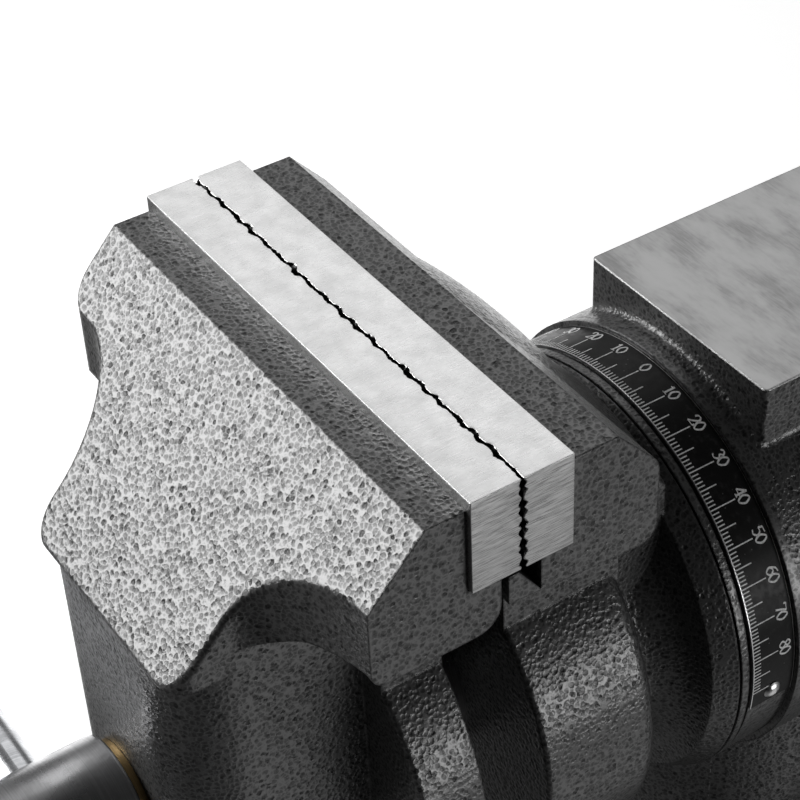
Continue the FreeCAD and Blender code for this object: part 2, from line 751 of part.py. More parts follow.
def collar_pin(room=0.0):
    reach = COLLAR_R - COLLAR_PIN_SINK + room
    return rod_x(COLLAR_PIN_R + room, -reach, reach, collar_start() + COLLAR_LENGTH / 2, AXIS_Z)


def handle_bar():
    half = HANDLE_LENGTH / 2
    return rod_x(HANDLE_R, -half, half, handle_y(), AXIS_Z)


def handle_knob(side):
    """Turned end knob with a socket for the bar."""
    inner = HANDLE_LENGTH / 2 - KNOB_SOCKET
    outer = inner + KNOB_LENGTH
    face = rounded_face([
        (inner, 0, 0),
        (inner, KNOB_R - KNOB_EDGE / 2, KNOB_EDGE / 3),
        (inner + KNOB_EDGE, KNOB_R, KNOB_EDGE / 2),
        (outer, KNOB_R, KNOB_EDGE),
        (outer, 0, 0),
    ], lambda p: V(side * p.x, handle_y(), AXIS_Z + p.y))
    knob = face.revolve(V(0, handle_y(), AXIS_Z), V(1, 0, 0), 360)
    socket = sorted((side * (inner - 1), side * (HANDLE_LENGTH / 2 + SEAT_FIT)))
    return knob.cut(rod_x(HANDLE_R + SEAT_FIT, socket[0], socket[1], handle_y(), AXIS_Z))


def retaining_ring():
    """Plate bolted behind the body's shoulder that keeps the head in."""
    start = SPINDLE_END_Y
    body = rod_y(RETAINER_R, start, start + RETAINER_T)
    body = body.cut(rod_y(TUBE_R + SPACE, start - 1, start + RETAINER_T + 1))
    return body.cut(retainer_bolts(SCREW_FIT))


def retainer_bolts(room=0.0):
    """Four bolts on a circle, heads sunk in the plate's rear face."""
    back = SPINDLE_END_Y + RETAINER_T
    bolts = []
    for i in range(4):
        angle = math.radians(45 + 90 * i)
        x = RETAINER_BOLT_CIRCLE * math.cos(angle)
        z = AXIS_Z + RETAINER_BOLT_CIRCLE * math.sin(angle)
        head = rod_y(RETAINER_HEAD_R + room, back - RETAINER_HEAD_H - room, back + room, x, z)
        tip = back - RETAINER_T - RETAINER_BOLT_DEPTH - room
        shank = rod_y(RETAINER_BOLT_R + room, tip, back - 1, x, z)
        bolt = head.fuse(shank)
        if room == 0:
            bolt = bolt.cut(hex_socket(x, back, z, -1, RETAINER_BOLT_R))
        bolts.append(bolt)
    return Part.makeCompound(bolts)


def rear_cap():
    """Cover that closes the barrel behind the slide tube."""
    start = BARREL_BACK_Y
    body = turned_y([
        (start, 0, 0),
        (start, BARREL_R, 0),
        (start + CAP_T, BARREL_R, CAP_EDGE),
        (start + CAP_T, 0, 0),
    ])
    return body.cut(cap_screws(SCREW_FIT))


def cap_screws(room=0.0):
    """Four button head screws on a circle."""
    face = BARREL_BACK_Y + CAP_T
    screws = []
    for i in range(4):
        angle = math.radians(45 + 90 * i)
        x = CAP_SCREW_CIRCLE * math.cos(angle)
        z = AXIS_Z + CAP_SCREW_CIRCLE * math.sin(angle)
        shank = rod_y(CAP_SCREW_R + room, BARREL_BACK_Y - CAP_SCREW_DEPTH - room, face + 1, x, z)
        if room == 0:
            screw = shank.fuse(rod_y(CAP_HEAD_R, face, face + CAP_HEAD_H, x, z))
            shank = screw.cut(hex_socket(x, face + CAP_HEAD_H, z, -1, CAP_SCREW_R))
        screws.append(shank)
    return Part.makeCompound(screws)


def ring_and_barrel():
    """Outside of the rotating joint's ring, the dial seat, the collar and the barrel."""
    return turned_y([
        (RING_Y, 0, 0),
        (RING_Y, LIP_RING_R, 0),
        (RING_Y + LIP_RING_W, LIP_RING_R, 0),
        (RING_Y + LIP_RING_W, DIAL_GROOVE_R, 0),
        (DIAL_Y, DIAL_GROOVE_R, 0),
        (DIAL_Y, DIAL_SEAT_R, 0),
        (COLLAR_Y, DIAL_SEAT_R, 0),
        (COLLAR_Y, BARREL_R, 0),
        (BARREL_BACK_Y, BARREL_R, 0),
        (BARREL_BACK_Y, 0, 0),
    ])


def anvil():
    half = ANVIL_W / 2
    front = depth(ANVIL_FRONT)
    return slab_z([
        (-half, front, ANVIL_CORNER_R),
        (half, front, ANVIL_CORNER_R),
        (half, front + ANVIL_LENGTH, ANVIL_CORNER_R),
        (-half, front + ANVIL_LENGTH, ANVIL_CORNER_R),
    ], AXIS_Z, AXIS_Z + ANVIL_RISE)


def edge_points(edge):
    first, last = edge.ParameterRange
    return [edge.valueAt(first + (last - first) * share) for share in (0.0, 0.25, 0.5, 0.75, 1.0)]


def rounded_edges(shape, radius, chosen):
    """Round every edge whose points all pass the test."""
    edges = [edge for edge in shape.Edges if all(map(chosen, edge_points(edge)))]
    return shape.makeFillet(radius, edges)


def on_anvil_top(point):
    return abs(point.z - AXIS_Z - ANVIL_RISE) < 1e-4


def on_anvil_foot(point):
    beside = math.hypot(point.x, point.z - AXIS_Z) - BARREL_R
    above = abs(point.x) < ANVIL_W / 2 + 1e-3 and point.z > AXIS_Z
    return abs(beside) < 1e-3 and above and COLLAR_Y + 1e-3 < point.y < BARREL_BACK_Y - 1e-3


def barrel_with_anvil():
    """Anvil on the barrel, its foot and top edges rounded."""
    block = rounded_edges(anvil(), ANVIL_EDGE, on_anvil_top)
    return rounded_edges(ring_and_barrel().fuse(block).removeSplitter(), ANVIL_FOOT_R, on_anvil_foot)


def pedestal():
    """Flange and flared foot of the body, turned about the swivel axis."""
    radius = PEDESTAL_R
    flare = PEDESTAL_FLARE_R
    top = BODY_FLANGE_Z
    bend = flare * (1 - math.sqrt(0.5))
    points = [
        V(0, 0, BODY_Z), V(BODY_FLANGE_R, 0, BODY_Z), V(BODY_FLANGE_R, 0, top - BODY_FLANGE_EDGE),
        V(BODY_FLANGE_R - BODY_FLANGE_EDGE, 0, top), V(radius + flare, 0, top),
    ]
    edges = [Part.LineSegment(a, b).toShape() for a, b in zip(points, points[1:])]
    edges.append(Part.Arc(V(radius + flare, 0, top), V(radius + bend, 0, top + bend),
                          V(radius, 0, top + flare)).toShape())
    rest = [V(radius, 0, top + flare), V(radius, 0, AXIS_Z), V(0, 0, AXIS_Z), V(0, 0, BODY_Z)]
    edges += [Part.LineSegment(a, b).toShape() for a, b in zip(rest, rest[1:])]
    return Part.Face(Part.Wire(edges)).revolve(V(0, 0, 0), V(0, 0, 1), 360)


def body_casting():
    body = barrel_with_anvil().fuse(pedestal())
    for x in mirror_pair(SLOT_CIRCLE):
        body = body.fuse(rod_z(LOCK_PAD_R, BODY_Z, BODY_FLANGE_Z + LOCK_PAD_H, x, 0))
    body = body.fuse(rod_x(HEAD_BOSS_R, -HEAD_BOSS_X, -SPINDLE_R - SHOE_R, HEAD_LOCK_Y, AXIS_Z))
    body = body.cut(rod_y(SPINDLE_R + RUN_FIT, RING_Y - 1, BARREL_BACK_Y))
    body = body.cut(rod_y(COUNTERBORE_R, SHOULDER_Y, BARREL_BACK_Y + 1))
    body = body.cut(rod_y(RELIEF_R, RELIEF_START_Y, RELIEF_END_Y))
    body = body.cut(rod_z(SPIGOT_R, BODY_Z - 1, BASE_H + SPIGOT_H + FACE_GAP))
    for x in mirror_pair(SLOT_CIRCLE):
        body = body.cut(rod_z(T_SHANK_R + SCREW_FIT, BODY_Z - 1, T_BOLT_TOP, x, 0))
        body = body.cut(rod_z(LOCK_PAD_R, BODY_FLANGE_Z + LOCK_PAD_H, T_BOLT_TOP + LOCK_NUT_H, x, 0))
    body = body.cut(rod_x(SHOE_R + SEAT_FIT, -shoe_outer() - SPACE, 0, HEAD_LOCK_Y, AXIS_Z))
    body = body.cut(rod_x(LOCK_SCREW_R + RUN_FIT, -HEAD_BOSS_X - 1, 0, HEAD_LOCK_Y, AXIS_Z))
    body = body.cut(cap_screws(SEAT_FIT))
    body = body.cut(dial_rivets(SEAT_FIT))
    return body.removeSplitter()


def dial_band():
    """Thin curved strip on its seat, with the degree marks printed on it."""
    inner = DIAL_SEAT_R + DIAL_FIT
    ring = rod_y(inner + DIAL_T, DIAL_Y, DIAL_Y + DIAL_W)
    ring = ring.cut(rod_y(inner, DIAL_Y - 1, DIAL_Y + DIAL_W + 1))
    reach = 2 * LIP_RING_R
    left, right = (V(side * reach * math.sin(math.radians(DIAL_HALF_DEG)), DIAL_Y,
                     AXIS_Z + reach * math.cos(math.radians(DIAL_HALF_DEG))) for side in (-1, 1))
    centre, low = V(0, DIAL_Y, AXIS_Z), V(0, DIAL_Y, AXIS_Z - 2 * reach)
    wedge = Part.Face(Part.makePolygon([centre, right, low, left, centre]))
    ring = ring.cut(wedge.extrude(V(0, DIAL_W, 0)))
    return ring.cut(dial_rivets(SEAT_FIT))


def dial_rivets(room=0.0):
    rivets = []
    y = DIAL_Y + DIAL_W / 2
    inner = DIAL_SEAT_R + DIAL_FIT + DIAL_T
    for side in (-1, 1):
        angle = math.radians(RIVET_DEG)
        out = V(side * math.sin(angle), 0, math.cos(angle))
        start = V(0, y, AXIS_Z) + out * (inner - RIVET_DEPTH - room)
        length = RIVET_DEPTH + room + RIVET_HEAD_H / 2
        rivet = Part.makeCylinder(RIVET_SHANK_R + room, length, start, out)
        if room == 0:
            seat = V(0, y, AXIS_Z) + out * (inner + DIAL_FIT)
            middle = seat - out * (RIVET_DOME_R - RIVET_HEAD_H)
            rim = math.degrees(math.asin(1 - RIVET_HEAD_H / RIVET_DOME_R))
            rivet = rivet.fuse(Part.makeSphere(RIVET_DOME_R, middle, out, rim, 90, 360))
        rivets.append(rivet)
    return Part.makeCompound(rivets)


def base():
    """Round base with an annular T slot, a spigot and four bolt lugs."""
    body = turned_z([
        (0, 0, 0),
        (BASE_R, 0, 0),
        (BASE_R, BASE_H, BASE_EDGE),
        (SPIGOT_R - RUN_FIT, BASE_H, 0),
        (SPIGOT_R - RUN_FIT, BASE_H + SPIGOT_H, SPIGOT_EDGE),
        (0, BASE_H + SPIGOT_H, 0),
    ])
    half = LUG_SPACING / 2
    for sx in (-1, 1):
        for sy in (-1, 1):
            lug = rod_z(LUG_R, 0, LUG_H, sx * half, sy * half)
            arm = box(0, half * math.sqrt(2), -LUG_R, LUG_R, 0, LUG_H)
            arm.rotate(V(0, 0, 0), V(0, 0, 1), math.degrees(math.atan2(sy, sx)))
            body = body.fuse(lug.fuse(arm))
    body = body.cut(slot_ring(SLOT_CAVITY_W, SLOT_FLOOR, SLOT_ROOF))
    body = body.cut(slot_ring(SLOT_W, SLOT_ROOF - 1, BASE_H + 1))
    body = body.cut(rod_z(CENTRE_HOLE_R, -1, BASE_H + SPIGOT_H + 1))
    body = body.cut(rod_z(ENTRY_R, -1, SLOT_ROOF, 0, SLOT_CIRCLE))
    for sx in (-1, 1):
        for sy in (-1, 1):
            body = body.cut(rod_z(LUG_HOLE_R, -1, LUG_H + 1, sx * half, sy * half))
            body = body.cut(rod_z(LUG_FACE_R, LUG_H - LUG_FACE_DEPTH, LUG_H + 1, sx * half, sy * half))
    return body.removeSplitter()


def slot_ring(width, bottom, top):
    ring = rod_z(SLOT_CIRCLE + width / 2, bottom, top)
    return ring.cut(rod_z(SLOT_CIRCLE - width / 2, bottom - 1, top + 1))


def t_bolts():
    """Square heads in the base's T slot, shanks up through the body's flange."""
    bolts = []
    head_top = SLOT_ROOF - SPACE
    half = T_HEAD_W / 2
    for x in mirror_pair(SLOT_CIRCLE):
        head = box(x - half, x + half, -half, half, head_top - T_HEAD_H, head_top)
        bolts.append(head.fuse(rod_z(T_SHANK_R, head_top - 1, T_BOLT_TOP, x, 0)))
    return Part.makeCompound(bolts)


def lock_washer_z():
    return BODY_FLANGE_Z + LOCK_PAD_H


def lock_washers():
    washers = []
    bottom = lock_washer_z()
    top = bottom + LOCK_WASHER_T
    for x in mirror_pair(SLOT_CIRCLE):
        washer = rod_z(LOCK_WASHER_R, bottom, top, x, 0)
        washers.append(washer.cut(rod_z(T_SHANK_R + SCREW_FIT, bottom - 1, top + 1, x, 0)))
    return Part.makeCompound(washers)


def lock_nut_z():
    return lock_washer_z() + LOCK_WASHER_T + FACE_GAP


def swivel_bar_line(side):
    """Root and direction of a swivel lock bar."""
    turn = math.radians(LOCK_REST_DEG)
    rise = math.radians(LOCK_BAR_RISE_DEG)
    way = V(side * math.cos(turn) * math.cos(rise), math.sin(turn) * math.cos(rise), math.sin(rise))
    hub = V(side * SLOT_CIRCLE, 0, lock_nut_z() + LOCK_NUT_H / 2)
    return hub + way * (LOCK_NUT_R - LOCK_BAR_SEAT), way


def lock_nut(side):
    """Round nut with a blind thread, turned by its bar."""
    bottom = lock_nut_z()
    top = bottom + LOCK_NUT_H
    nut = turned_z([
        (0, bottom, 0),
        (LOCK_NUT_R, bottom, 0),
        (LOCK_NUT_R, top, LOCK_NUT_EDGE),
        (0, top, 0),
    ], side * SLOT_CIRCLE, 0)
    nut = nut.cut(rod_z(T_SHANK_R + RUN_FIT, bottom - 1, top + 1, side * SLOT_CIRCLE, 0))
    start, way = swivel_bar_line(side)
    return nut.cut(Part.makeCylinder(LOCK_BAR_R + SEAT_FIT, LOCK_NUT_R, start, way))


def lock_bar(start, way):
    return Part.makeCylinder(LOCK_BAR_R, LOCK_BAR_LENGTH, start, way)


def lock_knob(start, way):
    """Ball knob on the end of a lock bar."""
    tip = start + way * LOCK_BAR_LENGTH
    ball = Part.makeSphere(LOCK_KNOB_R, tip, way)
    return ball.cut(Part.makeCylinder(LOCK_BAR_R + KNOB_FIT, 2 * LOCK_KNOB_R,
                                      tip - way * (2 * LOCK_KNOB_R - KNOB_FIT), way))


def shoe_outer():
    return SPINDLE_R + RUN_FIT + SHOE_GAP + SHOE_LENGTH


def head_lock_shoe():
    """Brass plug that presses on the spindle."""
    plug = rod_x(SHOE_R, -shoe_outer(), -SPINDLE_R + SHOE_R, HEAD_LOCK_Y, AXIS_Z)
    return plug.cut(rod_y(SPINDLE_R + RUN_FIT + SHOE_GAP, HEAD_LOCK_Y - SPINDLE_R, HEAD_LOCK_Y + SPINDLE_R))


def head_lock_screw():
    outer = HEAD_BOSS_X + FACE_GAP + LOCK_HEAD_LENGTH
    screw = rod_x(LOCK_SCREW_R, -outer, -shoe_outer() - FACE_GAP, HEAD_LOCK_Y, AXIS_Z)
    head = rod_x(LOCK_HEAD_R, -outer, -HEAD_BOSS_X - FACE_GAP, HEAD_LOCK_Y, AXIS_Z)
    screw = screw.fuse(head)
    start, way = head_bar_line()
    return screw.cut(Part.makeCylinder(LOCK_BAR_R + SEAT_FIT, LOCK_HEAD_R, start, way))


def head_bar_line():
    """Root and direction of the head lock bar, which hangs down and outwards."""
    rise = math.radians(LOCK_BAR_RISE_DEG)
    way = V(-math.sin(rise), 0, -math.cos(rise))
    hub = V(-HEAD_BOSS_X - FACE_GAP - LOCK_HEAD_LENGTH / 2, HEAD_LOCK_Y, AXIS_Z)
    return hub + way * (LOCK_HEAD_R - LOCK_BAR_SEAT), way


def parts():
    """Every piece of the vise by its name."""
    pieces = {
        "base": base(),
        "body_casting": body_casting(),
        "dial_band": dial_band(),
        "dial_rivets": dial_rivets(),
        "rear_cap": rear_cap(),
        "rear_cap_screws": cap_screws(),
        "swivel_t_bolts": t_bolts(),
        "swivel_lock_washers": lock_washers(),
        "head_lock_shoe": head_lock_shoe(),
        "head_lock_screw": head_lock_screw(),
        "head_casting": head_casting(),
        "retaining_ring": retaining_ring(),
        "retaining_ring_bolts": retainer_bolts(),
        "screw_nut": screw_nut(),
        "screw_nut_bolts": nut_bolts(),
        "front_jaw_casting": front_jaw_casting(),
        "slide_tube": slide_tube(),
        "slide_tube_pins": tube_pins(),
        "lead_screw": lead_screw(),
        "thrust_washer": thrust_washer(),
        "retaining_collar": retaining_collar(),
        "retaining_collar_pin": collar_pin(),
        "handle_bar": handle_bar(),
        "handle_knob_left": handle_knob(-1),
        "handle_knob_right": handle_knob(1),
    }
    for name, front in (("front", True), ("rear", False)):
        pieces[name + "_jaw_insert"] = jaw_insert(front)
        pieces[name + "_insert_screws"] = insert_screws(front)
        pieces[name + "_pipe_jaw"] = pipe_jaw(front)
        pieces[name + "_pipe_jaw_screws"] = pipe_screws(front)
    for name, side in (("left", -1), ("right", 1)):
        start, way = swivel_bar_line(side)
        pieces["swivel_lock_nut_" + name] = lock_nut(side)
        pieces["swivel_lock_bar_" + name] = lock_bar(start, way)
        pieces["swivel_lock_knob_" + name] = lock_knob(start, way)
    start, way = head_bar_line()
    pieces["head_lock_bar"] = lock_bar(start, way)
    pieces["head_lock_knob"] = lock_knob(start, way)
    return pieces


def main():
    os.makedirs("parts", exist_ok=True)
    for name, shape in parts().items():
        shape.exportStep(os.path.join("parts", name + ".step"))
        print(name, len(shape.Solids), shape.isValid(), round(sum(s.Volume for s in shape.Solids)))


main()
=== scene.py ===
import math

import bmesh
import bpy
import numpy as np
from bpy.props import FloatProperty, FloatVectorProperty, IntProperty, PointerProperty
from mathutils import Matrix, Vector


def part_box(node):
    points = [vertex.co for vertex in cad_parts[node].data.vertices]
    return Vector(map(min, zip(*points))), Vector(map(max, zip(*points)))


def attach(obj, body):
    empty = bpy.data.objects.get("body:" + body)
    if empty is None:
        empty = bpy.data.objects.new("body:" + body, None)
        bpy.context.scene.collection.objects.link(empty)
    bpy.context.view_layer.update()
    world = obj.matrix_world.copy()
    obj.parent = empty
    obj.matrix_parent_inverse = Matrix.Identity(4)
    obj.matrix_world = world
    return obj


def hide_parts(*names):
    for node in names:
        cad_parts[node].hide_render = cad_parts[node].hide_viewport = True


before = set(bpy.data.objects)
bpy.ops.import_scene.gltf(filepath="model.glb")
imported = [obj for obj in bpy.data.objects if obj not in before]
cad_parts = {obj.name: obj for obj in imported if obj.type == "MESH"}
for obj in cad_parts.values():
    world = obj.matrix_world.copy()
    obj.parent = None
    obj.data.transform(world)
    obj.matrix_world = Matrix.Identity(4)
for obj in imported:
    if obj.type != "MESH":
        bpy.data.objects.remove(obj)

bl_info = {
    "name": "Swivel Bench Vise",
    "version": (1, 0, 0),
    "blender": (4, 5, 0),
    "location": "View3D > Sidebar > Vise",
    "description": "Toothed jaw inserts, degree dial, screw thread, hammered enamel and a studio for a bench vise",
    "category": "Object",
}

# Sizes in millimetres, in the vise's own frame; MM turns them into metres.
MM = 0.001
AXIS_Z = 190.0
CONTACT_Y = -150.0
TOP_Z = 331.5
ANVIL_TOP_Z = 274.9
PRINT = 0.05  # height of printed marks over the dial, and how far they reach into it
INSERT_SCREW_X = 52.0
SCREW_HEAD_HOLE_R = 6.8
SCREW_SHANK_HOLE_R = 4.3
TEETH_REACH = 1.6  # depth of an insert over which its teeth fade out


def box_mm(node):
    """Lowest and highest corner of a CAD node in millimetres."""
    low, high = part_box(node)
    return np.array(low) / MM, np.array(high) / MM


# Meshes


def grid_quads(rows, cols, wrap_rows=False, wrap_cols=False):
    """Quads of a row-major grid of points; a wrapped side joins its last line to its first."""
    index = np.arange(rows * cols).reshape(rows, cols)
    if wrap_rows:
        index = np.vstack([index, index[:1]])
    if wrap_cols:
        index = np.hstack([index, index[:, :1]])
    corners = (index[:-1, :-1], index[1:, :-1], index[1:, 1:], index[:-1, 1:])
    return np.stack(corners, -1).reshape(-1, 4)


def put_mesh(name, points_mm, faces, sharp_deg=35.0):
    """Object made of points in millimetres and faces; its place is in its mesh."""
    mesh = bpy.data.meshes.new(name)
    mesh.from_pydata((np.asarray(points_mm, float) * MM).tolist(), [], faces)
    mesh.update()
    mesh.shade_smooth()
    mesh.set_sharp_from_angle(angle=math.radians(sharp_deg))
    obj = bpy.data.objects.new(name, mesh)
    bpy.context.scene.collection.objects.link(obj)
    return obj


def outward(obj):
    """Turns every face of a closed mesh outwards."""
    work = bmesh.new()
    work.from_mesh(obj.data)
    bmesh.ops.recalc_face_normals(work, faces=work.faces)
    work.to_mesh(obj.data)
    work.free()


def drill(obj, cutter):
    """Cuts the cutter's shape out of the piece and removes the cutter."""
    cut = obj.modifiers.new("hole", "BOOLEAN")
    cut.operation = "DIFFERENCE"
    cut.solver = "EXACT"
    cut.object = cutter
    bpy.context.view_layer.update()
    graph = bpy.context.evaluated_depsgraph_get()
    made = bpy.data.meshes.new_from_object(obj.evaluated_get(graph))
    obj.modifiers.clear()
    old = obj.data
    obj.data = made
    made.name = obj.name
    bpy.data.meshes.remove(old)
    bpy.data.objects.remove(cutter)


def ease(t):
    """Smooth step from 0 to 1."""
    t = np.clip(t, 0.0, 1.0)
    return t * t * (3.0 - 2.0 * t)


def ripple(x, waves):
    """Sum of sines (length, size, phase) along x: a wander that is the same on every run."""
    return sum(size * np.sin(2.0 * np.pi * x / length + phase) for length, size, phase in waves)


# Materials


def new_material(name):
    material = bpy.data.materials.new(name)
    material.use_nodes = True
    material.node_tree.nodes.clear()
    return material, material.node_tree


def node(tree, kind, settings=None, sockets=None):
    """A shader node; sockets are given a constant or another node's output."""
    made = tree.nodes.new("ShaderNode" + kind)
    for key, value in (settings or {}).items():
        setattr(made, key, value)
    for key, value in (sockets or {}).items():
        if isinstance(value, bpy.types.NodeSocket):
            tree.links.new(value, made.inputs[key])
        else:
            made.inputs[key].default_value = value
    return made


def math_node(tree, operation, a, b=0.0, c=0.0, clamp=False):
    return node(tree, "Math", {"operation": operation, "use_clamp": clamp}, {0: a, 1: b, 2: c}).outputs[0]


def ramp(tree, value, low, high, out_low=0.0, out_high=1.0):
    """Smooth step of a value between two limits."""
    settings = {"interpolation_type": "SMOOTHSTEP"}
    sockets = {"Value": value, "From Min": low, "From Max": high, "To Min": out_low, "To Max": out_high}
    return node(tree, "MapRange", settings, sockets).outputs["Result"]


def blend_colour(tree, share, a, b):
    mixed = node(tree, "Mix", {"data_type": "RGBA"})
    for socket, value in ((mixed.inputs[0], share), (mixed.inputs[6], a), (mixed.inputs[7], b)):
        if isinstance(value, bpy.types.NodeSocket):
            tree.links.new(value, socket)
        else:
            socket.default_value = value
    return mixed.outputs[2]


def grey(value, warm=0.0):
    return (value * (1 + warm), value, value * (1 - warm), 1.0)


def object_point(tree):
    """The shaded point in millimetres, in the vise's frame."""
    place = node(tree, "TexCoord").outputs["Object"]
    return node(tree, "VectorMath", {"operation": "SCALE"}, {0: place, "Scale": 1.0 / MM}).outputs[0]


def noise(tree, point, length_mm, detail=2.0, roughness=0.5, stretch=None):
    """Noise whose grain is about length_mm across; stretch divides it along X, Y and Z."""
    if stretch:
        point = node(tree, "VectorMath", {"operation": "DIVIDE"}, {0: point, 1: stretch}).outputs[0]
    sockets = {"Vector": point, "Scale": 1.0 / length_mm, "Detail": detail, "Roughness": roughness}
    return node(tree, "TexNoise", None, sockets).outputs["Fac"]


def cells(tree, point, length_mm, feature, randomness=1.0):
    sockets = {"Vector": point, "Scale": 1.0 / length_mm, "Randomness": randomness}
    return node(tree, "TexVoronoi", {"feature": feature}, sockets).outputs["Distance"]


def finish_material(tree, shader):
    node(tree, "OutputMaterial", None, {"Surface": shader.outputs[0]})


def bumped(tree, height, depth_mm, normal=None):
    sockets = {"Height": height, "Distance": depth_mm * MM, "Strength": 1.0}
    if normal is not None:
        sockets["Normal"] = normal
    return node(tree, "Bump", None, sockets).outputs["Normal"]


def soft_edges(tree, radius_mm):
    return node(tree, "Bevel", {"samples": 4}, {"Radius": radius_mm * MM}).outputs["Normal"]


def joint_dirt(tree, point, wobble, seat_gap=0.7):
    """Painted shade: a near-black line in the joint under and behind the front jaw insert, where the insert's shadow
    falls.
    """
    low, high = box_mm("front_jaw_insert")
    split = node(tree, "SeparateXYZ", None, {0: point})
    behind = math_node(tree, "SUBTRACT", low[1], split.outputs["Y"])
    under = math_node(tree, "SUBTRACT", low[2] - seat_gap, split.outputs["Z"])
    away = math_node(tree, "MULTIPLY_ADD", wobble, 0.5, math_node(tree, "MAXIMUM", behind, under))
    below_top = ramp(tree, split.outputs["Z"], TOP_Z - 4.2, TOP_Z - 3.9, 1.0, 0.0)
    on_front = ramp(tree, split.outputs["Y"], CONTACT_Y - 0.2, CONTACT_Y, 1.0, 0.0)
    reach = math_node(tree, "MULTIPLY", below_top, on_front)
    return math_node(tree, "MULTIPLY", ramp(tree, away, 0.55, 1.0, 1.0, 0.0), reach)


def end_edges(tree, facing, rounded):
    """Painted shade: a thin dark line where an end face that looks along X meets another face, the shade of its
    rounded edge.
    """
    settings = {"vector_type": "NORMAL", "convert_from": "WORLD", "convert_to": "OBJECT"}
    own = node(tree, "VectorTransform", settings, {0: rounded}).outputs[0]
    sideways = math_node(tree, "ABSOLUTE", node(tree, "SeparateXYZ", None, {0: own}).outputs["X"])
    near = ramp(tree, facing, 0.76, 0.95, 1.0, 0.0)
    return math_node(tree, "MULTIPLY", near, ramp(tree, sideways, 0.2, 0.45))


